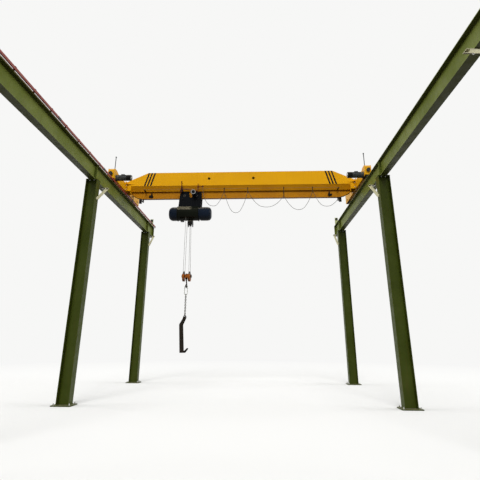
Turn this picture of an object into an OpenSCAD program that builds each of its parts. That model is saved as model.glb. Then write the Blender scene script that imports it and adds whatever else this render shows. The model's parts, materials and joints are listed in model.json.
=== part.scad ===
// Single-girder overhead travelling crane on a free-standing runway.
// Millimetres. The origin is on the floor, midway between the rails and
// midway along the runway. X runs across the hall, Y along the runway
// and Z up.

/* [Runway] */

// Distance between the two rail centres
rail_span = 8800; // [8800:100:9600]

// Distance between neighbouring columns
bay = 6000; // [5600:100:6400]

// Runway beyond the first and last column
overhang = 1000; // [900:50:1200]

// Height of the underside of the runway beams
beam_bottom = 6300; // [6100:50:6600]

// Depth of the runway beams
beam_h = 500; // [450:10:550]

// Flange width of the runway beams
beam_w = 200; // [190:5:220]

// Flange thickness of the runway beams
beam_tf = 16; // [12:1:20]

// Web thickness of the runway beams
beam_tw = 10; // [8:1:14]

// Height of the crane rail
rail_h = 107; // [95:1:120]

// Foot width of the crane rail
rail_foot = 92; // [84:1:100]

// Head width of the crane rail
rail_head = 51; // [46:1:56]

/* [Columns] */

// Depth of the column section across the hall
col_d = 340; // [300:10:380]

// Flange width of the columns
col_w = 250; // [220:10:280]

// Flange thickness of the columns
col_tf = 14; // [10:1:18]

// Web thickness of the columns
col_tw = 9; // [7:1:12]

// Thickness of the base plates
base_t = 25; // [20:1:35]

// Half the anchor spacing across the hall
anchor_x = 210; // [200:5:225]

// Half the anchor spacing along the runway
anchor_y = 165; // [155:5:175]

// Radius of the anchor holes
anchor_r = 13.5; // [11:0.5:16]

// Thickness of the cap plates
cap_t = 20; // [15:1:25]

// Drop of the knee braces below the runway beams
brace_drop = 620; // [540:10:700]

// Reach of the knee braces along the runway
brace_reach = 660; // [600:10:720]

// Leg width of the knee brace angles
brace_leg = 60; // [50:5:75]

/* [Bridge] */

// Place of the bridge along the runway
bridge_y = 2800; // [2600:50:3000]

// Distance between the wheels of one end carriage
wheelbase = 2500; // [2300:50:2700]

// Width of the end carriages
carriage_w = 220; // [210:5:240]

// Height of the carriage underside above the rail
carriage_gap = 43; // [38:1:50]

// Depth of the end carriages
carriage_h = 310; // [300:5:330]

// Extra height of the housings over the wheels
housing_rise = 57; // [40:1:75]

// Tread diameter of the bridge wheels
wheel_d = 270; // [260:1:280]

// Flange height of the bridge wheels
wheel_flange = 15; // [12:1:18]

// Diameter of the bridge wheel axles
axle_d = 60; // [50:1:70]

// Diameter of the rubber buffers
buffer_d = 120; // [100:5:130]

// Length of the rubber buffers
buffer_l = 80; // [60:5:100]

// Length of the travel motors
motor_l = 290; // [250:10:330]

// Height of the masts above the wheel housings
mast_h = 465; // [400:5:550]

/* [Girder] */

// Width of the girder box
box_w = 400; // [380:5:420]

// Height of the box's lower edge above the rail
box_low = 248; // [240:1:256]

// Height of the girder box
box_h = 535; // [500:5:570]

// Length of the sloping ends of the box
taper_run = 800; // [700:10:900]

// Plate thickness of the girder box
box_t = 10; // [8:1:14]

// Height of the inclined skirts
skirt_h = 165; // [150:1:180]

// Depth of the trolley track beam
track_h = 300; // [280:5:320]

// Flange width of the trolley track beam
track_w = 125; // [119:1:131]

// Flange thickness of the trolley track beam
track_tf = 14; // [12:0.5:16]

// Web thickness of the trolley track beam
track_tw = 10; // [8:1:14]

/* [Hoist] */

// Place of the hoist across the hall
hoist_x = -1840; // [-2000:20:-1600]

// Diameter of the drum shell
shell_d = 500; // [480:5:520]

// Height of the drum axis below the track
drum_drop = 595; // [580:5:620]

// Tread diameter of the trolley wheels
trolley_wheel_d = 150; // [140:1:160]

// Distance between the trolley wheels along the track
trolley_base = 440; // [420:5:460]

// Diameter of the hoist rope
rope_d = 13; // [10:1:16]

/* [Hook] */

// Height of the sheave axis of the hook block
block_z = 3780; // [3600:20:4000]

// Diameter of the hook block sheaves
sheave_d = 360; // [340:5:380]

// Distance between the two hook block sheaves
sheave_gap = 200; // [190:2:210]

// Bar diameter of the chain links
link_d = 18; // [16:1:20]

// Pitch of the chain links
link_pitch = 48; // [46:1:52]

// Number of chain links
link_count = 14; // [10:1:18]

// Thickness of the forged load hook
hook_t = 44; // [40:1:48]

/* [Cables] */

// Distance of the cable wire in front of the girder's middle
wire_off = 300; // [290:5:310]

// Diameter of the trailing cable
cable_d = 14; // [12:1:18]

/* [Hidden] */

$fn = 48;

half = rail_span / 2;
run_half = bay + overhang;
beam_top = beam_bottom + beam_h;
rail_top = beam_top + rail_h;
wheel_r = wheel_d / 2;
wheel_z = rail_top + wheel_r + 0.3;
wheel_y = wheelbase / 2;
car_z0 = rail_top + carriage_gap;
car_z1 = car_z0 + carriage_h;
car_half = wheel_y + 240;
housing_z = car_z1 + housing_rise;
buffer_z = wheel_z + 68;
stop_y = run_half - 100;
rail_half = stop_y - 100;

box_z0 = rail_top + box_low;
box_z1 = box_z0 + box_h;
track_z1 = box_z0 - skirt_h;
track_z0 = track_z1 - track_h;
web_x = half - carriage_w / 2 - 190;
face_x = half - carriage_w / 2;
joint_t = 20;
taper_x = face_x - joint_t - taper_run;
box_end_z = box_z1 - taper_run * 0.457;
track_rise = 170;
stop_x = web_x - 740;

drum_z = track_z0 - drum_drop;
shell_r = shell_d / 2;
tw_z = track_z0 + track_tf + trolley_wheel_d / 2 + 0.3;
hook_x = hoist_x - 25;
sheave_r = sheave_d / 2 - 15;

wire_y = bridge_y - wire_off;
wire_z = track_z1 + 5;
line_y = wire_y - 7;
line_z = wire_z - 20;
cable_y = line_y - 20;

bar_x = -half + beam_w / 2 + 40;
bar_z = beam_top + 6;
bar_h = 62;
hanger_step = bay / 8;

plate_y = 122;
arm_y = bridge_y - 252;
up_x = hoist_x + 30;
up_z = drum_z - shell_r - 130;
up_r = 105;

ring_r = 16;
ring_w = 52;
ring_top = block_z - 354 + ring_w + 0.3
    - sqrt(pow(ring_w - ring_r, 2) - pow(hook_t / 2, 2));
ring_low = block_z - 644;

link_r = link_d / 2;
link_bend = link_r * 2.4;
join_bend = ring_r + link_r + 3;
join_mid = ring_low + ring_r + link_r + 0.3 - 15 - join_bend;
link_step = link_pitch - 0.3;
first_mid = join_mid - 15 - join_bend + 0.3 + (link_d - link_pitch) / 2;
last_mid = first_mid - (link_count - 1) * link_step;
hook_turn = 30;

route_k = (web_x - 500) / 3600;

// Points of the trailing cable in X and Z, from the hoist to its end box
cable_points = [
    [-1360, 7060], [-1320, 6940], [-1230, 6640], [-1100, 6370],
    [-960, 6290], [-820, 6340], [-690, 6530], [-600, 6740],
    [-560, 6830], [-520, 6700], [-420, 6380], [-280, 6100],
    [-120, 6020], [30, 6100], [170, 6380], [270, 6700], [310, 6830],
    [380, 6730], [520, 6500], [730, 6290], [970, 6230], [1210, 6270],
    [1420, 6410], [1560, 6570], [1630, 6630], [1680, 6550],
    [1800, 6350], [1970, 6170], [2160, 6120], [2340, 6190],
    [2510, 6430], [2630, 6700], [2680, 6810], [2730, 6720],
    [2830, 6500], [2970, 6300], [3140, 6240], [3310, 6270],
    [3450, 6370], [3550, 6480], [3600, 6520]
];
cable_route = [for (p = cable_points) [p[0] * (p[0] > 0 ? route_k : 1), p[1]]];
cable_end = cable_route[len(cable_route) - 1];

module at_rails() {
    for (s = [-1, 1])
        translate([s * half, 0, 0])
            children();
}

module i_section(h, w, tw, tf) {
    translate([-w / 2, 0])
        square([w, tf]);
    translate([-w / 2, h - tf])
        square([w, tf]);
    translate([-tw / 2, tf])
        square([tw, h - 2 * tf]);
}

// Extrude a section drawn in X and Z along Y
module along_y(length) {
    translate([0, length / 2, 0])
        rotate([90, 0, 0])
            linear_extrude(length)
                children();
}

// Extrude a section drawn in Y and Z along X
module along_x(length) {
    translate([-length / 2, 0, 0])
        rotate([90, 0, 90])
            linear_extrude(length)
                children();
}

module rod_x(r, length) {
    rotate([0, 90, 0])
        cylinder(r = r, h = length, center = true);
}

module rod_y(r, length) {
    rotate([90, 0, 0])
        cylinder(r = r, h = length, center = true);
}

module block(size_x, size_y, size_z) {
    translate([-size_x / 2, -size_y / 2, 0])
        cube([size_x, size_y, size_z]);
}

/* Runway */

module column() {
    shaft_h = beam_bottom - cap_t - base_t;
    difference() {
        block(2 * anchor_x + 100, 2 * anchor_y + 100, base_t);
        for (sx = [-1, 1], sy = [-1, 1])
            translate([sx * anchor_x, sy * anchor_y, -1])
                cylinder(r = anchor_r, h = base_t + 2);
    }
    for (s = [-1, 1])
        translate([s * (col_d - col_tf) / 2, 0, base_t])
            block(col_tf, col_w, shaft_h);
    translate([0, 0, base_t])
        block(col_d - 2 * col_tf, col_tw, shaft_h);
    translate([0, 0, beam_bottom - cap_t])
        block(col_d + 10, col_w + 10, cap_t);
}

module columns() {
    for (y = [-bay, 0, bay])
        translate([0, y, 0])
            column();
}

module left_columns() {
    color("#2f3a12")
        translate([-half, 0, 0])
            columns();
}

module right_columns() {
    color("#2f3a12")
        translate([half, 0, 0])
            columns();
}

module runway_beam() {
    translate([0, 0, beam_bottom])
        along_y(2 * run_half)
            i_section(beam_h, beam_w, beam_tw, beam_tf);
    stiff_h = beam_h - 2 * beam_tf;
    stiff_w = (beam_w - beam_tw) / 2 - 6;
    for (y = [-bay, 0, bay], s = [-1, 1])
        translate([s * (beam_tw + stiff_w) / 2, y, beam_bottom + beam_tf])
            block(stiff_w, 12, stiff_h);
    for (y = [-run_half + 8, run_half - 8], s = [-1, 1])
        translate([s * (beam_w + beam_tw) / 4, y, beam_bottom + beam_tf])
            block((beam_w - beam_tw) / 2, 16, stiff_h);
}

module left_runway_beam() {
    color("#5a6334")
        translate([-half, 0, 0])
            runway_beam();
}

module right_runway_beam() {
    color("#5a6334")
        translate([half, 0, 0])
            runway_beam();
}

module rail() {
    head = rail_head / 2;
    foot = rail_foot / 2;
    translate([0, 0, beam_top])
        along_y(2 * rail_half)
            polygon([
                [-foot, 0], [foot, 0], [foot, 8], [14, 17],
                [5.5, 28], [5.5, rail_h - 36], [head, rail_h - 26],
                [head, rail_h - 4], [head - 4, rail_h],
                [4 - head, rail_h], [-head, rail_h - 4],
                [-head, rail_h - 26], [-5.5, rail_h - 36],
                [-5.5, 28], [-14, 17], [-foot, 8]
            ]);
}

module left_rail() {
    color("#6b625a")
        translate([-half, 0, 0])
            rail();
}

module right_rail() {
    color("#6b625a")
        translate([half, 0, 0])
            rail();
}

// An angle from the hall side of a column up to a shoe under the beam
module knee_brace() {
    face = -col_d / 2;
    shoe_t = 12;
    foot_y = -20;
    top_z = beam_bottom - shoe_t;
    drop = brace_drop - shoe_t;
    slope = atan2(drop, brace_reach - foot_y);
    translate([(face - brace_leg) / 2, brace_reach + 20, top_z])
        block(-face + brace_leg, 130, shoe_t);
    intersection() {
        translate([face - brace_leg, -200, top_z - brace_drop - 100])
            cube([brace_leg, brace_reach + 400, brace_drop + 100]);
        translate([face, foot_y, top_z - drop])
            rotate([slope, 0, 0])
                translate([0, brace_reach, 0])
                    along_y(2 * brace_reach)
                        brace_section();
    }
}

module brace_section() {
    translate([-7, -brace_leg / 2])
        square([7, brace_leg]);
    translate([-brace_leg, -brace_leg / 2])
        square([brace_leg, 7]);
}

module knee_braces() {
    for (y = [-bay, 0, bay])
        translate([0, y, 0])
            knee_brace();
}

module left_knee_braces() {
    color("#c9c8ac")
        translate([-half, 0, 0])
            mirror([1, 0, 0])
                knee_braces();
}

module right_knee_braces() {
    color("#c9c8ac")
        translate([half, 0, 0])
            knee_braces();
}

module end_stop() {
    post_h = buffer_z + 70 - beam_top;
    translate([0, 0, beam_top])
        block(beam_w - 20, 180, 16);
    translate([0, -30, beam_top + 16])
        block(140, 20, post_h - 16);
    translate([0, 20, beam_top + 16])
        along_x(16)
            polygon([[-40, 0], [50, 0], [50, 40], [-40, post_h - 40]]);
}

module end_stops() {
    color("#a9b07c")
        at_rails()
            for (m = [0, 1])
                mirror([0, m, 0])
                    translate([0, stop_y, 0])
                        end_stop();
}

module end_stop_pads() {
    color("#1c1c1c")
        at_rails()
            for (m = [0, 1])
                mirror([0, m, 0])
                    translate([0, stop_y - 50, buffer_z])
                        rod_y(55, 20);
}

/* Conductor line */

module conductor_bar() {
    color("#6e1f19")
        translate([bar_x, 0, bar_z])
            along_y(2 * run_half - 40)
                difference() {
                    translate([-14, 0])
                        square([28, bar_h]);
                    translate([-8, -1])
                        square([16, bar_h - 8]);
                    for (z = [12, 26, 40], s = [-1, 1])
                        translate([s * 14, z])
                            circle(r = 2, $fn = 16);
                }
}

module conductor_hangers() {
    color("#47180f")
        for (i = [-9:9])
            translate([bar_x, i * hanger_step, 0]) {
                translate([-53.5, 0, beam_top])
                    block(65, 50, 6);
                translate([-24, 0, beam_top + 6])
                    block(6, 50, bar_z + bar_h + 6 - beam_top);
                translate([-6, 0, bar_z + bar_h + 6])
                    block(42, 50, 6);
                translate([0, 0, bar_z + bar_h])
                    block(20, 40, 6);
                translate([-17.5, 0, bar_z + 20])
                    block(7, 30, 12);
            }
}

// Closing caps with the cable entry at both ends of the bar
module conductor_end_caps() {
    color("#1b1a19")
        for (m = [0, 1])
            mirror([0, m, 0])
                translate([bar_x, run_half - 10, 0]) {
                    translate([0, 0, bar_z - 8])
                        block(44, 20, bar_h + 16);
                    translate([0, 0, bar_z - 42])
                        cylinder(r = 16, h = 34);
                }
}

/* Girder */

// Side view of the girder box, drawn in X and Z
module box_profile(inset) {
    end_x = face_x - joint_t - inset;
    slope_in = inset * 0.25;
    polygon([
        [-end_x, box_z0 + inset], [end_x, box_z0 + inset],
        [end_x, box_end_z - inset],
        [taper_x - slope_in, box_z1 - inset],
        [-taper_x + slope_in, box_z1 - inset],
        [-end_x, box_end_z - inset]
    ]);
}

module girder_box() {
    color("#d9a010")
        translate([0, bridge_y, 0])
            difference() {
                along_y(box_w)
                    box_profile(0);
                along_y(box_w - 2 * box_t)
                    box_profile(box_t);
                for (x = [-1150, 520])
                    translate([x, -box_w / 2, box_z0 + 275])
                        rod_y(32, 4 * box_t);
            }
}

module girder_skirts() {
    top = box_w / 2;
    foot = track_w / 2;
    color("#b27a12")
        translate([0, bridge_y, 0])
            for (m = [0, 1])
                mirror([0, m, 0])
                    along_x(2 * web_x)
                        polygon([
                            [foot, track_z1 - track_tf],
                            [foot + 11, track_z1 - track_tf],
                            [top, box_z0], [top - 12, box_z0],
                            [foot, track_z1]
                        ]);
}

// The lower flange rises towards both ends of the girder
module girder_track() {
    bend_x = web_x - 420;
    mid_x = web_x - 220;
    lower = [
        [bend_x, track_z0], [mid_x, track_z0 + track_rise * 0.3],
        [web_x, track_z0 + track_rise]
    ];
    upper = [for (i = [2:-1:0]) lower[i] + [0, track_tf]];
    color("#a96d14")
        translate([0, bridge_y, 0]) {
            translate([0, 0, track_z1 - track_tf])
                block(2 * web_x, track_w, track_tf);
            translate([0, 0, track_z0])
                block(2 * bend_x, track_w, track_tf);
            for (m = [0, 1])
                mirror([m, 0, 0]) {
                    along_y(track_w)
                        polygon(concat(lower, upper));
                    along_y(track_tw)
                        polygon(concat([[0, track_z0]], lower,
                                       [[web_x, track_z1], [0, track_z1]]));
                }
        }
}

// Plates that close the girder's ends and bolt to the carriages
module girder_end_joints() {
    low = car_z0 + 15;
    cheek = box_w / 2;
    flange_z = track_z0 + track_rise + track_tf;
    color("#c48a17")
        translate([0, bridge_y, 0])
            for (m = [0, 1])
                mirror([m, 0, 0]) {
                    difference() {
                        translate([face_x - joint_t / 2, 0, low])
                            block(joint_t, box_w + 240, box_end_z - low);
                        for (sy = [-1, 1], z = [low + 50, low + 200])
                            translate([face_x - joint_t / 2, sy * 270, z])
                                rod_x(11, 2 * joint_t);
                    }
                    for (sy = [-1, 1])
                        translate([web_x, 0, low]) {
                            translate([0, sy * (cheek - 6) - 6, 0])
                                cube([190 - joint_t, 12, box_z0 - low]);
                            translate([0, 0, 260])
                                linear_extrude(12)
                                    polygon([
                                        [-130, sy * cheek],
                                        [170, sy * cheek],
                                        [170, sy * (cheek + 120)],
                                        [100, sy * (cheek + 52)],
                                        [0, sy * (cheek + 15)]
                                    ]);
                        }
                    translate([web_x + 6, 0, flange_z])
                        block(12, box_w - 24, box_z0 - flange_z);
                }
}

module track_stops() {
    thick = track_w / 2 - track_tw / 2 - 4;
    color("#1d1c1a")
        translate([0, bridge_y, track_z0 + track_tf + 20])
            for (sx = [-1, 1], sy = [-1, 1])
                translate([sx * stop_x, sy * (track_tw + thick) / 2, 0]) {
                    translate([-25 * sx, 0, 0])
                        block(46, thick, 190);
                    translate([0, 0, 45])
                        block(150, thick - 8, 60);
                }
}

/* End carriages */

// Side plate outline, drawn in Y and Z
module carriage_side(drop) {
    e = car_half - drop;
    top = housing_z - drop;
    difference() {
        union() {
            polygon([
                [-e, car_z0], [e, car_z0], [e, top - 70], [e - 70, top],
                [e - 230, top], [e - 400, car_z1 - drop],
                [400 - e, car_z1 - drop], [230 - e, top],
                [70 - e, top], [-e, top - 70]
            ]);
            for (s = [-1, 1])
                translate([s * (e - 70), top - 70])
                    circle(r = 70);
        }
        for (s = [-1, 1])
            translate([s * wheel_y, wheel_z])
                circle(r = axle_d / 2 + 0.05);
    }
}

module end_carriage() {
    wall = 12;
    inner = carriage_w - 2 * wall;
    for (s = [-1, 1])
        translate([s * (carriage_w - wall) / 2, 0, 0])
            along_x(wall)
                carriage_side(0);
    along_x(inner)
        difference() {
            carriage_shell(0);
            carriage_shell(wall);
        }
}

// Outline of the cover strip between the side plates
module carriage_shell(inset) {
    e = car_half - inset;
    top = housing_z - inset;
    open_y = wheel_y - wheel_r - 50;
    low = inset > 0 ? car_z0 + inset : car_z0;
    polygon([
        [-e, car_z0 - inset], [-e, top - 70], [70 - e, top],
        [230 - e, top], [400 - e, car_z1 - inset],
        [e - 400, car_z1 - inset], [e - 230, top], [e - 70, top],
        [e, top - 70], [e, car_z0 - inset],
        [open_y, car_z0 - inset], [open_y, low],
        [-open_y, low], [-open_y, car_z0 - inset]
    ]);
}

module left_end_carriage() {
    color("#e0a613")
        translate([-half, bridge_y, 0])
            end_carriage();
}

module right_end_carriage() {
    color("#e0a613")
        translate([half, bridge_y, 0])
            end_carriage();
}

module carriage_buffers() {
    color("#191919")
        at_rails()
            for (s = [-1, 1])
                translate([0, bridge_y + s * (car_half + buffer_l / 2),
                           buffer_z])
                    rod_y(buffer_d / 2, buffer_l);
}

module at_wheels() {
    at_rails()
        for (s = [-1, 1])
            translate([0, bridge_y + s * wheel_y, wheel_z])
                children();
}

module wheel_axles() {
    collar = (carriage_w / 2 - 12 - 62) - 2;
    color("#55524c")
        at_wheels() {
            rod_x(axle_d / 2, carriage_w + 30);
            for (s = [-1, 1])
                translate([s * (carriage_w / 2 - 12 - collar / 2), 0, 0])
                    rod_x(axle_d / 2 + 12, collar);
        }
}

module bridge_wheels() {
    tread = rail_head / 2 + 6;
    color("#4a4743")
        at_wheels()
            rotate([0, 90, 0])
                rotate_extrude()
                    polygon([
                        [axle_d / 2 + 0.05, -60], [52, -60], [52, -26],
                        [wheel_r - 30, -26], [wheel_r - 30, -tread - 16],
                        [wheel_r + wheel_flange - 6, -tread - 16],
                        [wheel_r + wheel_flange, -tread - 8],
                        [wheel_r, -tread],
                        [wheel_r, tread],
                        [wheel_r + wheel_flange, tread + 8],
                        [wheel_r + wheel_flange - 6, tread + 16],
                        [wheel_r - 30, tread + 16], [wheel_r - 30, 26],
                        [52, 26], [52, 60], [axle_d / 2 + 0.05, 60]
                    ]);
}

// Travel drives point inward from the front wheels
module at_drives() {
    for (m = [0, 1])
        mirror([m, 0, 0])
            translate([face_x, bridge_y - wheel_y, wheel_z])
                children();
}

module travel_gearboxes() {
    color("#3c3f3d")
        at_drives()
            difference() {
                union() {
                    translate([-12, 0, 0])
                        rod_x(115, 24);
                    translate([-50, 0, 0])
                        rod_x(95, 56);
                    translate([-82, 0, 0])
                        rod_x(110, 16);
                }
                rod_x(axle_d / 2 + 0.5, 40);
            }
}

module travel_motors() {
    color("#55585a")
        at_drives()
            translate([-90 - motor_l / 2, 0, 0]) {
                rod_x(85, motor_l);
                for (i = [0:11])
                    rotate([i * 30, 0, 0])
                        translate([0, 0, 83])
                            block(motor_l - 20, 8, 20);
                translate([0, 0, 84])
                    block(120, 90, 42);
            }
}

module motor_covers() {
    color("#1a1b1c")
        at_drives()
            translate([-90 - motor_l, 0, 0])
                rotate([0, -90, 0])
                    rotate_extrude()
                        polygon([
                            [0, 0], [105, 0], [105, 138], [100, 152],
                            [88, 160], [0, 160]
                        ]);
}

module carriage_masts() {
    color("#4d5053")
        for (s = [-1, 1])
            translate([s * (half - 60), bridge_y - car_half + 140,
                       housing_z]) {
                cylinder(r = 32, h = 8);
                cylinder(r = 14, h = mast_h);
                translate([0, 0, mast_h])
                    cylinder(r = 22, h = 34);
            }
}

module current_collector() {
    arm_z = car_z0 + 40;
    foot_z = bar_z - 30;
    out_x = bar_x + 50;
    color("#2a2a2a")
        translate([0, bridge_y + 500, 0]) {
            translate([(out_x - face_x) / 2, 0, arm_z])
                block(out_x + face_x, 80, 8);
            translate([out_x - 5, 0, foot_z])
                block(10, 60, arm_z - foot_z);
            translate([bar_x + 17, 0, foot_z])
                block(56, 60, 10);
            translate([bar_x, 0, foot_z + 10])
                block(12, 160, 15);
        }
}

/* Trailing cable */

// Flat arms under the track's upper flange, with a tab for the wire
module wire_brackets() {
    arm_z = track_z1 - track_tf - 8;
    color("#2b2a27")
        translate([0, bridge_y, 0])
            for (x = [-(web_x - 540), cable_end[0] + 40]) {
                translate([x, -(wire_off + 24) / 2, arm_z])
                    block(50, wire_off - 16, 8);
                translate([x, -wire_off, line_z - 20])
                    block(50, 8, arm_z + 8 - line_z + 20);
            }
}

module cable_wire() {
    left = -(web_x - 520);
    right = cable_end[0] + 60;
    color("#8c8c88")
        translate([(left + right) / 2, line_y, line_z])
            rod_x(3, right - left);
}

// A box on a drop arm under each end of the track
module cable_end_clamp() {
    box_h0 = 170;
    low_z = cable_end[1] - 110;
    arm_z = low_z + box_h0 - 10;
    color("#22211f")
        for (m = [0, 1])
            mirror([m, 0, 0])
                translate([cable_end[0] + 50, 0, 0]) {
                    translate([0, cable_y, low_z])
                        block(90, 60, box_h0);
                    translate([0, (cable_y + bridge_y) / 2 + 30, arm_z])
                        block(40, bridge_y - cable_y, 10);
                    translate([0, bridge_y, arm_z + 10])
                        block(40, 60, track_z0 - arm_z - 10);
                }
}

// Smooth curve through a list of points, two steps to a point
function between(a, b, c, d, t) =
    (2 * b + (c - a) * t + (2 * a - 5 * b + 4 * c - d) * t * t
        + (3 * b - a - 3 * c + d) * t * t * t) / 2;

function smooth(p) =
    let (n = len(p) - 1)
    [
        for (i = [0:n - 1], t = [0, 0.5])
            between(p[max(i - 1, 0)], p[i], p[i + 1], p[min(i + 2, n)], t),
        p[n]
    ];

function heading(p, k) =
    let (d = p[min(k + 1, len(p) - 1)] - p[max(k - 1, 0)])
    d / norm(d);

// Round tube along a path that lies in one X-Z plane
module tube(path, r, sides) {
    n = len(path);
    rings = [
        for (k = [0:n - 1], i = [0:sides - 1])
            let (h = heading(path, k), a = 360 * i / sides)
            [
                path[k][0] - r * sin(a) * h[1],
                r * cos(a),
                path[k][1] + r * sin(a) * h[0]
            ]
    ];
    walls = [
        for (k = [0:n - 2], i = [0:sides - 1])
            let (j = (i + 1) % sides, m = k * sides)
            [m + i, m + sides + i, m + sides + j, m + j]
    ];
    ends = [
        [for (i = [0:sides - 1]) i],
        [for (i = [sides - 1:-1:0]) (n - 1) * sides + i]
    ];
    polyhedron(rings, concat(walls, ends), convexity = 20);
}

module trailing_cable() {
    color("#3b3a38")
        translate([0, cable_y, 0])
            tube(smooth(cable_route), cable_d / 2, 8);
}

// A grooved roller on the wire with a saddle pin under the cable
module cable_carrier(index) {
    at = cable_route[index * 8];
    pin_z = at[1] - cable_d / 2 - 19.6;
    color("#26282a")
        translate([at[0], line_y, 0]) {
            translate([0, 0, line_z + 19])
                rotate([90, 0, 0])
                    rotate_extrude()
                        polygon([
                            [0, -8], [22, -8], [22, -6], [16, -2],
                            [16, 2], [22, 6], [22, 8], [0, 8]
                        ]);
            difference() {
                translate([0, -10, pin_z - 12])
                    block(36, 4, line_z + 36 - pin_z);
                translate([0, -10, line_z - 25])
                    rod_y(4, 20);
            }
            translate([0, -23.5, pin_z])
                rod_y(4, 23);
            translate([0, -36.5, pin_z - 12])
                block(36, 3, 48);
        }
}

module cable_carrier_1() {
    cable_carrier(1);
}

module cable_carrier_2() {
    cable_carrier(2);
}

module cable_carrier_3() {
    cable_carrier(3);
}

module cable_carrier_4() {
    cable_carrier(4);
}

/* Hoist trolley */

module trolley_plates() {
    color("#10161a")
        translate([hoist_x, bridge_y, 0]) {
            for (s = [-1, 1])
                translate([0, s * (plate_y + 6), 0])
                    difference() {
                        along_y(12)
                            polygon([
                                [-430, drum_z + shell_r - 20],
                                [415, drum_z + shell_r - 20],
                                [415, drum_z + shell_r + 60],
                                [430, tw_z + 90], [390, tw_z + 150],
                                [110, tw_z + 150], [60, tw_z - 70],
                                [-20, tw_z - 70], [-60, tw_z + 150],
                                [-320, tw_z + 150], [-390, tw_z + 90],
                                [-430, drum_z + shell_r + 60]
                            ]);
                        for (sx = [-1, 1])
                            translate([sx * trolley_base / 2, 0, tw_z])
                                rod_y(17.55, 40);
                    }
            for (x = [-300, 300])
                translate([x, 0, track_z0 - 60])
                    rod_y(20, 2 * plate_y);
        }
}

module trolley_wheels() {
    r = trolley_wheel_d / 2;
    color("#3a3b3c")
        for (sx = [-1, 1], m = [0, 1])
            translate([hoist_x + sx * trolley_base / 2, bridge_y, tw_z])
                mirror([0, m, 0])
                    rotate([-90, 0, 0]) {
                        rotate_extrude()
                            polygon([
                                [0, 24], [r, 24], [r, 69],
                                [r + 14, 71], [r + 14, 82], [40, 82],
                                [40, 96], [0, 96]
                            ]);
                        translate([0, 0, 96])
                            cylinder(r = 17.5, h = plate_y + 11.5 - 96);
                    }
}

module trolley_motor() {
    color("#20262b")
        translate([hoist_x + 150, bridge_y - plate_y - 12, tw_z + 30])
            rotate([90, 0, 0]) {
                cylinder(r = 95, h = 60);
                translate([0, 0, 60])
                    cylinder(r = 78, h = 190);
                translate([0, 0, 250])
                    cylinder(r = 84, h = 60);
            }
}

/* Hoist */

module drum_shell() {
    length = 787;
    deck = drum_z + shell_r - 20;
    color("#1a2017")
        translate([hoist_x - 64.5, bridge_y, 0])
            difference() {
                union() {
                    translate([0, 0, drum_z])
                        rod_x(shell_r, length);
                    translate([0, 0, drum_z])
                        block(length, shell_d * 0.8, deck - drum_z);
                    difference() {
                        for (s = [-1, 1])
                            translate([s * (length / 2 - 10), 0, drum_z])
                                rod_x(shell_r + 20, 20);
                        translate([0, 0, deck])
                            block(length, shell_d, 60);
                    }
                }
                translate([0, 0, drum_z])
                    rod_x(shell_r - 12, length - 24);
                for (s = [-1, 1])
                    translate([0, s * sheave_r, drum_z - shell_r])
                        block(560, 46, shell_r - 40);
            }
}

module rope_drum() {
    color("#4b4a46")
        translate([hoist_x - 64.5, bridge_y, drum_z]) {
            rod_x(sheave_r - rope_d / 2, 763);
            for (s = [-1, 1])
                translate([s * 330, 0, 0])
                    rod_x(sheave_r + 20, 16);
        }
}

module hoist_gearbox() {
    color("#0f1620")
        translate([hoist_x - 458, bridge_y, drum_z])
            rotate([0, -90, 0])
                rotate_extrude()
                    polygon([
                        [0, 0], [shell_r + 6, 0], [shell_r + 6, 190],
                        [shell_r - 14, 250], [shell_r - 60, 300],
                        [shell_r - 120, 319], [0, 319]
                    ]);
}

module hoist_motor() {
    color("#13223a")
        translate([hoist_x + 329, bridge_y, drum_z])
            rotate([0, 90, 0])
                rotate_extrude()
                    polygon([
                        [0, 0], [shell_r - 20, 0], [shell_r - 20, 60],
                        [shell_r + 4, 70], [shell_r + 4, 330],
                        [shell_r - 14, 400], [shell_r - 60, 446],
                        [shell_r - 120, 466], [0, 466]
                    ]);
}

module rope_guide() {
    color("#121211")
        translate([hoist_x - 270, bridge_y - 60, 0])
            difference() {
                translate([0, 0, drum_z - shell_r - 60])
                    block(120, 150, 90);
                translate([0, 60, drum_z])
                    rod_x(shell_r + 0.3, 160);
            }
}

module upper_sheave() {
    color("#121211")
        translate([up_x, bridge_y, up_z]) {
            rotate([0, 90, 0])
                rotate_extrude()
                    polygon([
                        [0, -22], [up_r + 4, -22], [up_r + 8, -16],
                        [up_r - rope_d / 2 - 0.3, -5],
                        [up_r - rope_d / 2 - 0.3, 5],
                        [up_r + 8, 16], [up_r + 4, 22], [0, 22]
                    ]);
            rod_x(20, 176);
            difference() {
                rod_x(125, 160);
                rod_x(118, 146);
                translate([0, 0, -140])
                    block(180, 260, 160);
            }
            difference() {
                for (s = [-1, 1])
                    translate([s * 80, 0, 0]) {
                        rod_x(125, 14);
                        block(14, 130, 140);
                    }
                translate([0, 0, drum_z - up_z])
                    rod_x(shell_r + 0.3, 200);
            }
        }
}

module upper_rope_wrap() {
    color("#8d8d88")
        translate([up_x, bridge_y, up_z])
            rotate([0, 90, 0])
                rotate([0, 0, 90])
                    rotate_extrude(angle = 180)
                        translate([up_r, 0])
                            circle(r = rope_d / 2, $fn = 24);
}

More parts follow.
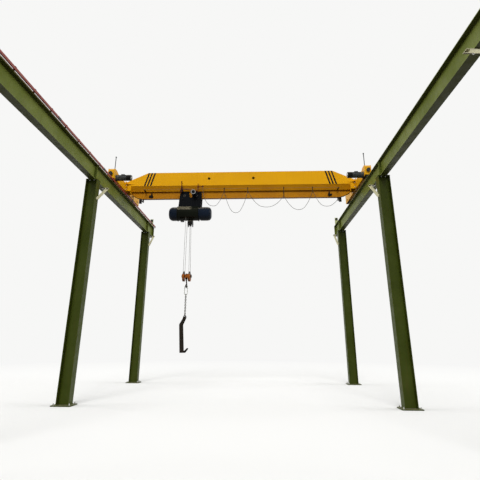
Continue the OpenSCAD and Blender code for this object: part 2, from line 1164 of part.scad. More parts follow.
// Two posts before the trolley, a slanting bar and the cable's first clamp
module towing_arms() {
    reach = bridge_y - plate_y - 12 - arm_y + 5;
    start = cable_route[0];
    foot_z = tw_z + 100;
    color("#4a1610") {
        for (a = [[-330, 440], [290, 330]]) {
            translate([hoist_x + a[0], arm_y, foot_z])
                block(26, 10, a[1]);
            translate([hoist_x + a[0], arm_y - 5 + reach / 2, foot_z])
                block(26, reach, 10);
        }
        translate([hoist_x, arm_y - 8, foot_z])
            along_y(10)
                polygon([
                    [-340, 115], [-340, 140], [300, 38], [300, 13]
                ]);
        translate([start[0], cable_y, start[1] + 2.5])
            block(40, 28, 30);
        translate([start[0], (cable_y + arm_y) / 2 - 4.5, start[1] + 32.5])
            block(40, arm_y - cable_y + 19, 8);
        translate([(start[0] + hoist_x + 290) / 2, arm_y, start[1] + 10.5])
            block(start[0] - hoist_x - 290 + 40, 10, 22);
    }
}

// A straight rope between two points
module rope(from, to) {
    d = to - from;
    lean = acos(d[2] / norm(d));
    translate(from)
        rotate([0, 0, atan2(d[1], d[0])])
            rotate([0, lean, 0])
                cylinder(r = rope_d / 2, h = norm(d), $fn = 24);
}

// The left falls go to the drum and the right ones over the upper sheave
module hoist_ropes() {
    low_x = sheave_gap / 2;
    low_z = block_z + 1;
    color("#8d8d88")
        for (s = [-1, 1]) {
            translate([hook_x - low_x, bridge_y + s * sheave_r, low_z])
                cylinder(r = rope_d / 2, h = drum_z - low_z, $fn = 24);
            rope([hook_x + low_x, bridge_y + s * sheave_r, low_z],
                 [up_x, bridge_y + s * up_r, up_z - 1]);
        }
}

module block_rope_wraps() {
    color("#8d8d88")
        for (s = [-1, 1])
            translate([hook_x + s * sheave_gap / 2, bridge_y, block_z])
                rotate([0, 90, 0])
                    rotate([0, 0, -90])
                        rotate_extrude(angle = 180)
                            translate([sheave_r, 0])
                                circle(r = rope_d / 2, $fn = 24);
}

/* Hook block and hook */

module block_sheaves() {
    color("#5b4326")
        for (sx = [-1, 1])
            translate([hook_x + sx * sheave_gap / 2, bridge_y, block_z])
                rotate([0, 90, 0])
                    rotate_extrude()
                        polygon([
                            [30, -20], [60, -20], [60, -8],
                            [sheave_r - 14, -8], [sheave_r + 2, -17],
                            [sheave_r + 12, -17],
                            [sheave_r - rope_d / 2 - 0.3, -5],
                            [sheave_r - rope_d / 2 - 0.3, 5],
                            [sheave_r + 12, 17], [sheave_r + 2, 17],
                            [sheave_r - 14, 8], [60, 8], [60, 20],
                            [30, 20]
                        ]);
}

module block_frame() {
    cover_r = sheave_d / 2 + 6;
    color("#c65f12")
        translate([hook_x, bridge_y, block_z]) {
            for (s = [-1, 1])
                translate([s * sheave_gap / 2, 0, 0])
                    sheave_cover(cover_r);
            difference() {
                union() {
                    rod_x(29.95, sheave_gap + 100);
                    translate([0, 0, -55])
                        block(110, 110, 110);
                }
                cylinder(r = 25.05, h = 200, center = true);
            }
        }
}

// Two cheeks round the lower part of a sheave, joined by a rim
module sheave_cover(r) {
    difference() {
        rod_x(r, 68);
        rod_x(r - 7, 52);
        rod_x(29.95, 80);
        translate([0, 0, 50])
            block(100, 2 * r + 10, r);
    }
}

// The hook lies in the Y-Z plane and opens towards the front
module load_hook() {
    bowl_z = -300;
    color("#171614")
        translate([hook_x, bridge_y, block_z]) {
            translate([0, 0, -56 - 30])
                cylinder(r = 25, h = 56 + 30 + 56 + 34);
            translate([0, 0, 56])
                cylinder(r = 44, h = 34);
            translate([0, 0, -110])
                cylinder(r = 34, h = 54);
            translate([0, 0, bowl_z])
                intersection() {
                    along_x(hook_t)
                        hook_outline();
                    cylinder(r = 135, h = 500, center = true);
                }
        }
}

// A crescent that is thickest at the bottom and the back
module hook_outline() {
    difference() {
        union() {
            translate([8, -8])
                circle(r = 112);
            polygon([
                [-32, 200], [32, 200], [44, 120], [118, 30],
                [20, -20], [-38, 75]
            ]);
        }
        circle(r = 54);
        polygon([
            [0, 0], [-150, 24], [-150, 130], [-60, 130], [-38, 72]
        ]);
    }
}

module oval_link(wire, bend, straight) {
    for (s = [-1, 1]) {
        translate([0, 0, s * straight / 2])
            rotate([s * 90, 0, 0])
                rotate_extrude(angle = 180)
                    translate([bend, 0])
                        circle(r = wire, $fn = 24);
        translate([s * bend, 0, -straight / 2])
            cylinder(r = wire, h = straight, $fn = 24);
    }
}

// A long ring that hangs in the bowl of the hook
module master_link() {
    color("#b9b9b4")
        translate([hook_x, bridge_y, (ring_top + ring_low) / 2])
            oval_link(ring_r, ring_w, ring_top - ring_low - 2 * ring_w);
}

// Each link stands across its neighbour, with a slight twist
module sling_chain() {
    twist = 90 + hook_turn / link_count;
    color("#8a8a86")
        translate([hook_x, bridge_y, 0]) {
            translate([0, 0, join_mid])
                rotate([0, 0, 90])
                    oval_link(link_r, join_bend, 30);
            for (i = [0:link_count - 1])
                translate([0, 0, first_mid - i * link_step])
                    rotate([0, 0, 90 + (i + 1) * twist])
                        oval_link(link_r, link_bend,
                                  link_pitch - 2 * (link_bend - link_r));
        }
}

// A bent plate hook whose lower arm enters the bore of a coil
module coil_hook() {
    eye_z = -link_pitch / 2 + 2.8 - 16;
    turn = link_count % 2 == 0 ? hook_turn : hook_turn + 90;
    color("#1c1c1a")
        translate([hook_x, bridge_y, last_mid])
            rotate([0, 0, turn])
                difference() {
                    union() {
                        along_y(14)
                            polygon([
                                [-36, eye_z + 34], [36, eye_z + 34],
                                [60, eye_z - 20], [10, eye_z - 140],
                                [-110, eye_z - 190], [-60, eye_z - 20]
                            ]);
                        along_y(42)
                            polygon([
                                [-55, eye_z - 45], [58, eye_z - 45],
                                [-50, -320], [12, -1145],
                                [44, -1145], [130, -1064],
                                [168, -1066], [152, -1112],
                                [66, -1214], [-124, -1214],
                                [-184, -305]
                            ]);
                    }
                    translate([0, 0, eye_z])
                        rod_y(16, 60);
                }
}

left_columns();
right_columns();
left_runway_beam();
right_runway_beam();
left_rail();
right_rail();
left_knee_braces();
right_knee_braces();
end_stops();
end_stop_pads();
conductor_bar();
conductor_hangers();
conductor_end_caps();
girder_box();
girder_skirts();
girder_track();
girder_end_joints();
left_end_carriage();
right_end_carriage();
carriage_buffers();
wheel_axles();
travel_gearboxes();
travel_motors();
motor_covers();
carriage_masts();
track_stops();
wire_brackets();
cable_wire();
cable_end_clamp();
current_collector();
trailing_cable();
cable_carrier_1();
cable_carrier_2();
cable_carrier_3();
cable_carrier_4();
bridge_wheels();
trolley_plates();
trolley_wheels();
trolley_motor();
drum_shell();
rope_drum();
hoist_gearbox();
hoist_motor();
rope_guide();
upper_sheave();
towing_arms();
upper_rope_wrap();
hoist_ropes();
block_rope_wraps();
block_sheaves();
block_frame();
load_hook();
master_link();
sling_chain();
coil_hook();
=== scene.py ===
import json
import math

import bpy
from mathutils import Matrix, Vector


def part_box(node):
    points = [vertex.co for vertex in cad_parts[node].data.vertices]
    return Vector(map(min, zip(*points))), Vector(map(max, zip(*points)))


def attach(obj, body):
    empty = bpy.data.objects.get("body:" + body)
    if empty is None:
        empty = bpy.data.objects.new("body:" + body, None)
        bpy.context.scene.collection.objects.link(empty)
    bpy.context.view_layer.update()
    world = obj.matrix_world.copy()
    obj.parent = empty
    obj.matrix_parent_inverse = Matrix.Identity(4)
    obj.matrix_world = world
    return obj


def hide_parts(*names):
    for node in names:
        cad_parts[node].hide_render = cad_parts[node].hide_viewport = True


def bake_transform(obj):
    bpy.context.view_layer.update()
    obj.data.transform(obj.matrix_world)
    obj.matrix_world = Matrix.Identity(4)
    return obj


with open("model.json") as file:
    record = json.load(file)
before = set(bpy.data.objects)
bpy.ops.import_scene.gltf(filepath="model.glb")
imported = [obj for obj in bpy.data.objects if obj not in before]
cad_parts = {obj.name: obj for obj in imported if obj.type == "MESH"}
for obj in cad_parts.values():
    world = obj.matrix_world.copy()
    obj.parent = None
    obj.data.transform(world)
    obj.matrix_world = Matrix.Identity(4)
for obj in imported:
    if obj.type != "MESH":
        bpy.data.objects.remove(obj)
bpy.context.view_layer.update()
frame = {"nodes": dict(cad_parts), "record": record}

# %% [markdown]
# A single-girder overhead travelling crane stands on its own runway: six H columns carry
# two beams with rails, a yellow box girder rolls on them, and an underslung rope hoist
# rolls along the girder. The construction comes from the frame, at its real size. This
# file gives it its paint, steel, rope and rubber, and the small pieces that fasten it:
# bolts, clips, welds and guards. Everything is in metres, in the frame's own axes.

MM = 0.001
UP, DOWN = Vector((0, 0, 1)), Vector((0, 0, -1))
BOTH = (-1, 1)  # left and right, near and far, or low and high


def low(node):
    """Lowest corner of a node of the frame."""
    return Vector(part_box(node)[0])


def high(node):
    """Highest corner of a node of the frame."""
    return Vector(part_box(node)[1])


def middle(node):
    """Middle of a node of the frame."""
    return (low(node) + high(node)) / 2


RAIL_X = middle("right_rail").x
BRIDGE_Y = middle("girder_box").y
BEAM_LOW = low("right_runway_beam").z
BEAM_TOP = high("right_runway_beam").z
RAIL_TOP = high("right_rail").z
BOX_LOW, BOX_TOP = low("girder_box").z, high("girder_box").z
BOX_FRONT = low("girder_box").y
TRACK_LOW = low("girder_track").z
BAY = 6.0
COLUMN_ROWS = (-BAY, 0.0, BAY)

# %% [markdown]
# The camera stands at eye height, 5 m before the first row of columns, which is just
# outside the picture. It looks up at the bridge, 18 degrees above the horizon and a
# little to the left. The lens comes from the photo's own straight lines, and the small
# shift puts the horizon where the photo has it.

# %% Camera
EYE = (0.590, -10.929, 1.577)
LOOK_UP, LOOK_LEFT, ROLL = 18.13, 2.40, 0.23
LENS = 29.3
SHIFT_Y = -0.054

camera_data = bpy.data.cameras.new("eye_level_camera")
camera_data.lens = LENS
camera_data.sensor_width = 36
camera_data.shift_y = SHIFT_Y
camera_data.clip_end = 200
camera = bpy.data.objects.new("eye_level_camera", camera_data)
turn = Matrix.Rotation(math.radians(LOOK_LEFT), 4, "Z")
tilt = Matrix.Rotation(math.radians(90 + LOOK_UP), 4, "X")
roll = Matrix.Rotation(math.radians(ROLL), 4, "Z")
camera.matrix_world = Matrix.Translation(EYE) @ turn @ tilt @ roll
bpy.context.scene.collection.objects.link(camera)
bpy.context.scene.camera = camera
print("camera at", EYE)

# %% [markdown]
# Long thin things, such as cables, ropes and weld beads, are all one idea: a closed
# outline carried along a path. A curve object with a bevel would do it too, but a mesh
# lets the outline turn as it goes, which is what makes a wire rope look laid.

# %% A tube along a path
def link(name, verts, faces, smooth=True):
    """A new mesh object in the scene, from plain points and faces."""
    mesh = bpy.data.meshes.new(name)
    mesh.from_pydata([tuple(v) for v in verts], [], faces)
    mesh.validate()
    for face in mesh.polygons:
        face.use_smooth = smooth
    made = bpy.data.objects.new(name, mesh)
    bpy.context.scene.collection.objects.link(made)
    return made


def sweep(path, outline, turns=0.0, start=0):
    """Points and faces of an outline carried along a path, with its ends closed."""
    count = len(outline)
    verts, faces = [], []
    side = None
    along = 0.0
    for k, point in enumerate(path):
        ahead = path[min(k + 1, len(path) - 1)] - path[max(k - 1, 0)]
        ahead.normalize()
        if side is None:
            side = ahead.orthogonal().normalized()
        side = (side - ahead * side.dot(ahead)).normalized()
        other = ahead.cross(side)
        if k:
            along += (point - path[k - 1]).length
        spin = turns * along * 2 * math.pi
        for a, b in outline:
            x = a * math.cos(spin) - b * math.sin(spin)
            y = a * math.sin(spin) + b * math.cos(spin)
            verts.append(point + side * x + other * y)
    for k in range(len(path) - 1):
        for i in range(count):
            j = (i + 1) % count
            m = start + k * count
            faces.append((m + i, m + j, m + count + j, m + count + i))
    faces.append([start + i for i in range(count)][::-1])
    faces.append([start + (len(path) - 1) * count + i for i in range(count)])
    return verts, faces


def ring(radius, sides):
    """A round outline."""
    turn_by = 2 * math.pi / sides
    return [(radius * math.cos(i * turn_by), radius * math.sin(i * turn_by))
            for i in range(sides)]


def tubes(name, paths, outline, turns=0.0):
    """One object with a tube along each path."""
    verts, faces = [], []
    for path in paths:
        more, sides = sweep(path, outline, turns, len(verts))
        verts += more
        faces += sides
    return link(name, verts, faces)


print("tube tools ready")

# %% [markdown]
# The trailing cable feeds the hoist. It is a round rubber cable, 14 mm thick, in five
# loops that hang between the hoist, four sliding carriers and a clamp at the girder's
# end. Its route follows the frame's cable, a little steeper where it leaves the hoist,
# which leaves room beside the first carrier when the loops bunch up. When the hoist
# rolls, each carrier keeps its share of the way, so each loop is a piece of its own
# between its two ends. The short length on each saddle is clamped, so it is a stiff piece
# that rides on its carrier, and the loops start where it leaves off. Each piece is a mesh.

# %% Trailing cable
CABLE = 0.014
CABLE_Y = middle("trailing_cable").y
ROUTE = [
    (-1.360, 7.060), (-1.352, 6.940), (-1.300, 6.640), (-1.140, 6.370),
    (-0.960, 6.290), (-0.820, 6.340), (-0.690, 6.530), (-0.600, 6.740),
    (-0.560, 6.830), (-0.520, 6.700), (-0.420, 6.380), (-0.280, 6.100),
    (-0.120, 6.020), (0.030, 6.100), (0.170, 6.380), (0.270, 6.700),
    (0.310, 6.830), (0.380, 6.730), (0.520, 6.500), (0.730, 6.290),
    (0.970, 6.230), (1.210, 6.270), (1.420, 6.410), (1.560, 6.570),
    (1.630, 6.630), (1.680, 6.550), (1.800, 6.350), (1.970, 6.170),
    (2.160, 6.120), (2.340, 6.190), (2.510, 6.430), (2.630, 6.700),
    (2.680, 6.810), (2.730, 6.720), (2.830, 6.500), (2.970, 6.300),
    (3.140, 6.240), (3.310, 6.270), (3.450, 6.370), (3.550, 6.480),
    (3.600, 6.520),
]
LOOPS = 5
LOOP_POINTS = 8  # points of the route from one saddle to the next
STEPS = 6  # straight steps from one point to the next
SADDLE = 4  # steps of the clamped length on either side of a saddle


def between(a, b, c, d, t):
    """Point on the smooth curve from b to c."""
    return (2 * b + (c - a) * t + (2 * a - 5 * b + 4 * c - d) * t ** 2
            + (3 * b - a - 3 * c + d) * t ** 3) / 2


def smooth_line(points, steps):
    """A smooth curve through all the points."""
    last = len(points) - 1
    line = []
    for i in range(last):
        four = (points[max(i - 1, 0)], points[i], points[i + 1], points[min(i + 2, last)])
        line += [between(*four, k / steps) for k in range(steps)]
    return line + [points[-1]]


def blend_ends(x0, share0, x1, share1):
    """Where a smooth blend starts and ends so that x0 and x1 keep the given shares."""
    def place(share):
        return 0.5 - math.sin(math.asin(max(-1, min(1, 2 * share - 1))) / 3)
    t0, t1 = place(share0), place(share1)
    long = (x1 - x0) / (t1 - t0)
    return x0 - t0 * long, x0 + (1 - t0) * long


def length_of(line):
    """Length of a line of points."""
    return sum((b - a).length for a, b in zip(line, line[1:]))


route = smooth_line([Vector((x, CABLE_Y, z)) for x, z in ROUTE], STEPS)
first_x, last_x = ROUTE[0][0], ROUTE[-1][0]
cable_loops = []
round_outline = ring(CABLE / 2, 12)
for loop in range(LOOPS):
    held = (loop * LOOP_POINTS * STEPS, (loop + 1) * LOOP_POINTS * STEPS)
    shares = [(last_x - route[k].x) / (last_x - first_x) for k in held]
    start = held[0] + (SADDLE if loop else 0)
    end = held[1] - (SADDLE if loop < LOOPS - 1 else 0)
    part = route[start:end + 1]
    piece = tubes(f"cable_loop_{loop + 1}", [part], round_outline)
    start_x, end_x = blend_ends(part[0].x, shares[0], part[-1].x, shares[1])
    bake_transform(piece)
    cable_loops.append(piece)
    if loop < LOOPS - 1:
        rest = route[held[1] - SADDLE:held[1] + SADDLE + 1]
        piece = tubes(f"cable_on_saddle_{loop + 1}", [rest], round_outline)
        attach(piece, f"carrier_{loop + 1}")
        cable_loops.append(piece)
for piece in cable_loops:
    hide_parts("trailing_cable")
print("trailing cable, metres:", round(length_of(route), 2))

# %% [markdown]
# Four falls of rope carry the hook block. The left pair runs straight up to the drum,
# the right pair over the sheave under the hoist. A wire rope is six strands laid round a
# core, so each fall is a six-lobed outline that turns once in every lay length. Each
# pair has its own anchor height, so each pair is one piece.

# %% Hoist ropes
ROPE = 0.013
LAY = 7 * ROPE
BLOCK = middle("block_sheaves")
BLOCK_TOP = BLOCK.z + 0.001
FALL_SPREAD = (high("block_rope_wraps").y - low("block_rope_wraps").y - ROPE) / 2
UPPER_SPREAD = (high("upper_rope_wrap").y - low("upper_rope_wrap").y - ROPE) / 2
LEFT_X = low("block_rope_wraps").x + ROPE / 2
RIGHT_X = high("block_rope_wraps").x - ROPE / 2
DRUM_Z = middle("rope_drum").z
UPPER_X, UPPER_Z = middle("upper_rope_wrap").x, low("upper_rope_wrap").z
DRUM_STEPS, SHEAVE_STEPS = 130, 110  # short enough that the strands turn evenly


def strands(diameter, lobes=6, points=18):
    """Outline of a laid rope: round, with a shallow groove between the strands."""
    outline = []
    for i in range(points):
        angle = 2 * math.pi * i / points
        radius = diameter / 2 * (0.93 + 0.07 * math.cos(lobes * angle))
        outline.append((radius * math.cos(angle), radius * math.sin(angle)))
    return outline


def straight(a, b, steps):
    """Points from a to b, evenly spaced."""
    return [a.lerp(b, k / steps) for k in range(steps + 1)]


left_falls, right_falls, rope_falls = [], [], []
for side in BOTH:
    foot = Vector((LEFT_X, BLOCK.y + side * FALL_SPREAD, BLOCK_TOP))
    left_falls.append(straight(foot, Vector((LEFT_X, foot.y, DRUM_Z)), DRUM_STEPS))
    foot = Vector((RIGHT_X, BLOCK.y + side * FALL_SPREAD, BLOCK_TOP))
    head = Vector((UPPER_X, BLOCK.y + side * UPPER_SPREAD, UPPER_Z - 0.001))
    right_falls.append(straight(foot, head, SHEAVE_STEPS))
for name, falls, top in (("drum_falls", left_falls, DRUM_Z),
                         ("sheave_falls", right_falls, UPPER_Z)):
    piece = tubes(name, falls, strands(ROPE), 1 / LAY)
    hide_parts("hoist_ropes")
    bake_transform(piece)
    rope_falls.append(piece)
print("rope falls:", len(left_falls + right_falls))

# %% [markdown]
# Colours are written as sRGB hex codes, as a paint card or a picture editor gives them.
# Shaders work in linear light, so one function turns a code into linear values. Node
# trees could be drawn by hand in the shader editor; in a script one small function that
# adds a node with its settings and links does for every kind of node. Where a whole node
# is given as an input, the function links its first output that is in use.

# %% Colours and nodes
def colour(code):
    """An sRGB hex colour as the linear values that the shaders take."""
    parts = [int(code[i:i + 2], 16) / 255 for i in (1, 3, 5)]
    return tuple(p / 12.92 if p <= 0.04045 else ((p + 0.055) / 1.055) ** 2.4
                 for p in parts) + (1.0,)


def add(tree, kind, links=None, **settings):
    """Add a shader node with its settings, and set or link its inputs."""
    made = tree.nodes.new("ShaderNode" + kind)
    for name, value in settings.items():
        setattr(made, name, value)
    for socket, source in (links or {}).items():
        if isinstance(source, bpy.types.Node):
            source = next(output for output in source.outputs if output.enabled)
        if isinstance(source, bpy.types.NodeSocket):
            tree.links.new(source, made.inputs[socket])
        else:
            made.inputs[socket].default_value = source
    return made


def new_material(name):
    """An empty material, its node tree, and the place of each point on the object."""
    made = bpy.data.materials.new(name)
    made.use_nodes = True
    made.node_tree.nodes.clear()
    return made, made.node_tree, add(made.node_tree, "TexCoord").outputs["Object"]


print("mid grey in linear light:", round(colour("#808080")[0], 3))

# %% [markdown]
# The crane stands on a plain pale floor under soft light. The world is white where the
# camera or a reflection sees it and a calm grey where it lights the object. Three large
# soft suns stand for the rows of roof lights: one in front lights the girder's face and
# leaves what hangs under it in shade, and one from each side reaches the webs of the
# runway beams. The front sun is left out of the reflections, or its wide disc would veil
# every flat plate. The floor fades to white before its far edge.

# %% Floor, sky and sun
FLOOR_SIDE = 240
FADE_FROM, FADE_TO = 9, 26
BACKGROUND = "#f7f7f6"


def shown(tree):
    """1 for the rays that show the surroundings: straight, reflected or refracted."""
    path = add(tree, "LightPath").outputs
    either = add(tree, "Math", {0: path["Is Camera Ray"], 1: path["Is Glossy Ray"]},
                 operation="MAXIMUM")
    return add(tree, "Math", {0: either, 1: path["Is Transmission Ray"]}, operation="MAXIMUM")


bpy.ops.mesh.primitive_plane_add(size=FLOOR_SIDE, location=(0, 0, -0.002))
floor = bpy.context.object
floor.name = "studio_floor"
pale, tree, where = new_material("pale_floor")
away = add(tree, "VectorMath", {0: where}, operation="LENGTH")
fade = add(tree, "MapRange", {"Value": away, "From Min": FADE_FROM, "From Max": FADE_TO})
seen = shown(tree)
share = add(tree, "Math", {0: fade, 1: seen}, operation="MULTIPLY")
tone = add(tree, "Mix", {0: seen, 6: colour("#656159"), 7: colour("#e7e7e6")},
           data_type="RGBA")
matt = add(tree, "BsdfDiffuse", {"Color": tone})
white = add(tree, "Emission", {"Color": colour(BACKGROUND), "Strength": 1.0})
mix = add(tree, "MixShader", {0: share, 1: matt, 2: white})
add(tree, "OutputMaterial", {"Surface": mix})
floor.data.materials.append(pale)

sky = bpy.data.worlds.new("soft_hall_light")
bpy.context.scene.world = sky
sky.use_nodes = True
tree = sky.node_tree
tree.nodes.clear()
calm = add(tree, "Background", {"Color": colour("#fafaf8"), "Strength": 0.62})
bright = add(tree, "Background", {"Color": colour(BACKGROUND), "Strength": 1.0})
mix = add(tree, "MixShader", {0: shown(tree), 1: calm, 2: bright})
add(tree, "OutputWorld", {"Surface": mix})


def roof_light(name, energy, spread, tip, turn_by, shines=True):
    """A large soft sun, tipped from straight above and turned round the hall."""
    lamp = bpy.data.lights.new(name, "SUN")
    lamp.energy = energy
    lamp.angle = math.radians(spread)
    made = bpy.data.objects.new(name, lamp)
    made.rotation_euler = (math.radians(tip), 0, math.radians(turn_by))
    made.visible_glossy = shines
    bpy.context.scene.collection.objects.link(made)


roof_light("roof_light_front", 1.85, 30, 54, -4, shines=False)
roof_light("roof_light_left", 1.3, 40, 66, -90)
roof_light("roof_light_right", 1.3, 40, 66, 90)

bpy.context.scene.view_settings.view_transform = "Standard"
print("floor, sky and sun ready")

# %% [markdown]
# Nearly everything here is steel under alkyd enamel, brushed or sprayed on, so the paints
# share one recipe. Fresh enamel is even and glossy. Years in a hall fade it in wide
# patches, rain and oil draw faint streaks down its upright faces, dust settles on what
# faces up, and corners lose their paint first. Faces that look down get a painted shade,
# a dark brown. Each of these is a mask from the position or the direction of the surface,
# so it stays put from every side.

# %% Masks
def mottle(tree, spot, size, low_end=0.35, high_end=0.65, detail=3.0):
    """A cloudy mask from 0 to 1 whose clouds are about size metres wide."""
    cloud = add(tree, "TexNoise", {"Vector": spot, "Scale": 1 / size, "Detail": detail})
    return add(tree, "MapRange", {"Value": cloud, "From Min": low_end, "From Max": high_end})


def facing(tree, axis, from_value, to_value):
    """A mask of the faces whose normal along an axis lies between two values."""
    normal = add(tree, "NewGeometry").outputs["Normal"]
    part = add(tree, "SeparateXYZ", {0: normal}).outputs[axis]
    return add(tree, "MapRange", {"Value": part, "From Min": from_value, "From Max": to_value})


def settled_dust(tree, spot, steepest, patch):
    """A mask of the faces that look up enough to hold dust, broken up in patches."""
    upward, cloud = facing(tree, 2, steepest, 0.95), mottle(tree, spot, patch, 0.2, 0.7)
    return add(tree, "Math", {0: upward, 1: cloud}, operation="MULTIPLY")


def grain(tree, spot, size, height):
    """A bump of the given grain size and height in metres."""
    rough = add(tree, "TexNoise", {"Vector": spot, "Scale": 1 / size, "Detail": 2.0})
    return add(tree, "Bump", {"Height": rough, "Distance": height, "Strength": 0.5})


print("masks ready")

# %% [markdown]
# The enamel recipe takes its fresh colour, its faded colour and what shows where the
# film has gone: red oxide primer on the plate work, bare steel on the motors. Wear
# follows the corners, found by comparing the face's own normal with one that is rounded
# over 5 mm, and is broken up by small clouds. A vertex colour painted by hand could hold
# the wear too, but it would have to be painted again after each change of shape.

# %% Enamel on steel
# The dark brown second colour is a painted shade for faces that look down.
DUST, UNDERSIDE_SHADE = "#a59c86", "#1d1710"
FADE_PATCH, DUST_PATCH, POLISH_PATCH = 700 * MM, 120 * MM, 150 * MM
STREAK_WIDTH, STREAK_LENGTH = 35 * MM, 900 * MM
WORN_CORNER, CHIP = 5 * MM, 30 * MM
# Real peel is 1 to 2 mm wide, too fine to show from the floor, so it is drawn coarser.
PEEL, PEEL_HEIGHT = 5 * MM, 0.3 * MM


def enamel(name, fresh, faded, under="#5a3320", gloss=0.38, dust=0.45, wear=0.5,
           runs=0.25, sheen=0.14, underside_shade=0.30, marks=None):
    """Painted steel. Old paint is chalky, so its sheen is under the usual 0.5 of a film."""
    made, tree, spot = new_material(name)
    paint = add(tree, "Mix", {0: mottle(tree, spot, FADE_PATCH, 0.3, 0.75), 6: colour(fresh),
                              7: colour(faded)}, data_type="RGBA")
    if marks:
        paint = marks(tree, spot, paint)
    drawn = add(tree, "VectorMath", {0: spot, 1: (1 / STREAK_WIDTH, 1 / STREAK_WIDTH,
                                                  1 / STREAK_LENGTH)}, operation="MULTIPLY")
    streaks = mottle(tree, drawn, 1.0, 0.55, 0.85, 2.0)
    settled = settled_dust(tree, spot, 0.45, DUST_PATCH)
    rounded = add(tree, "Bevel", {"Radius": WORN_CORNER}, samples=4)
    own = add(tree, "NewGeometry").outputs["Normal"]
    match = add(tree, "VectorMath", {0: rounded, 1: own}, operation="DOT_PRODUCT")
    corner = add(tree, "MapRange", {"Value": match, "From Min": 0.985, "From Max": 0.88})
    chips = add(tree, "Math", {0: corner, 1: mottle(tree, spot, CHIP, 0.45, 0.6)},
                operation="MULTIPLY")
    # The third mask is painted shade: faces that look down are darkened towards dark brown.
    for mask, share, code in ((streaks, runs, under), (settled, dust, DUST),
                              (facing(tree, 2, -0.5, -0.95), underside_shade, UNDERSIDE_SHADE), (chips, wear, under)):
        cover = add(tree, "Math", {0: mask, 1: share}, operation="MULTIPLY")
        paint = add(tree, "Mix", {0: cover, 6: paint, 7: colour(code)}, data_type="RGBA")
    polish = add(tree, "MapRange", {"Value": mottle(tree, spot, POLISH_PATCH),
                                    "To Min": gloss - 0.07, "To Max": gloss + 0.10})
    rough = add(tree, "Math", {0: settled, 1: 0.35, 2: polish}, operation="MULTIPLY_ADD")
    shader = add(tree, "BsdfPrincipled", {
        "Base Color": paint, "Roughness": rough, "Specular IOR Level": sheen,
        "Normal": grain(tree, spot, PEEL, PEEL_HEIGHT)})
    add(tree, "OutputMaterial", {"Surface": shader})
    return made


print("enamel recipe ready")

# %% [markdown]
# Two pieces carry marks of their own. Three slanting black bands stand near each end of
# the girder. They were painted between strips of tape, so their edges are sharp: a band
# is where the place along the girder, less its slant, lies close to the band's middle.
# The painted shade round the two holes and the paler upper part of the drum shell fade
# out softly, so they are ramps. Each function lays its marks over the paint before the
# paint ages.

# %% Black bands, painted shade round the holes and a paler shell top
HOLE_PLACES, HOLE_Z = (-1.15, 0.52), BOX_LOW + 0.275
BAND_PLACES, BAND_WIDTH = (3.438, 3.325, 3.212), 60 * MM
BAND_LEAN = 0.15 / (BOX_TOP - BOX_LOW)
HOLE_SHADE_OUT, HOLE_SHADE_IN = 62 * MM, 40 * MM
SHELL_PALE_LOW, SHELL_PALE_FULL = 90 * MM, 140 * MM  # above the drum's axis
SHELL_PALE_RIGHT, SHELL_PALE_LEFT = -1.74, -1.84


def girder_marks(tree, spot, paint):
    """Three slanting black bands near each end of the box, and painted shade round its two holes.
    """
    place = add(tree, "SeparateXYZ", {0: spot})
    out = add(tree, "Math", {0: place.outputs[0]}, operation="ABSOLUTE")
    drop = add(tree, "Math", {0: BOX_TOP, 1: place.outputs[2]}, operation="SUBTRACT")
    lean = add(tree, "Math", {0: drop, 1: BAND_LEAN}, operation="MULTIPLY")
    along = add(tree, "Math", {0: out, 1: lean}, operation="SUBTRACT")
    upright = add(tree, "Math", {0: facing(tree, 1, -0.5, -0.9), 1: facing(tree, 1, 0.5, 0.9)},
                  operation="MAXIMUM")
    bands = 0.0
    for centre in BAND_PLACES:
        band = add(tree, "Math", {0: along, 1: centre, 2: BAND_WIDTH / 2}, operation="COMPARE")
        bands = add(tree, "Math", {0: bands, 1: band}, operation="ADD")
    black = add(tree, "Math", {0: bands, 1: upright}, operation="MULTIPLY")
    paint = add(tree, "Mix", {0: black, 6: paint, 7: colour("#15130f")}, data_type="RGBA")
    # Painted shade: a near-black disc round each hole, fading out from 40 to 62 mm.
    for x in HOLE_PLACES:
        far = add(tree, "VectorMath", {0: spot, 1: (x, BOX_FRONT, HOLE_Z)}, operation="DISTANCE")
        hole_shade = add(tree, "MapRange", {"Value": far, "From Min": HOLE_SHADE_OUT, "From Max": HOLE_SHADE_IN})
        paint = add(tree, "Mix", {0: hole_shade, 6: paint, 7: colour("#1b1409")}, data_type="RGBA")
    return paint


def pale_shell_top(tree, spot, paint):
    """A pale grey-brown band on the upper part of the drum shell, over its left two thirds."""
    place = add(tree, "SeparateXYZ", {0: spot})
    cover = mottle(tree, spot, 50 * MM, 0.3, 0.6)
    for along, start, full in ((place.outputs[2], DRUM_Z + SHELL_PALE_LOW, DRUM_Z + SHELL_PALE_FULL),
                               (place.outputs[0], SHELL_PALE_RIGHT, SHELL_PALE_LEFT)):
        edge = add(tree, "MapRange", {"Value": along, "From Min": start, "From Max": full})
        cover = add(tree, "Math", {0: cover, 1: edge}, operation="MULTIPLY")
    return add(tree, "Mix", {0: cover, 6: paint, 7: colour("#77715f")}, data_type="RGBA")


print("bands at each end:", len(BAND_PLACES))
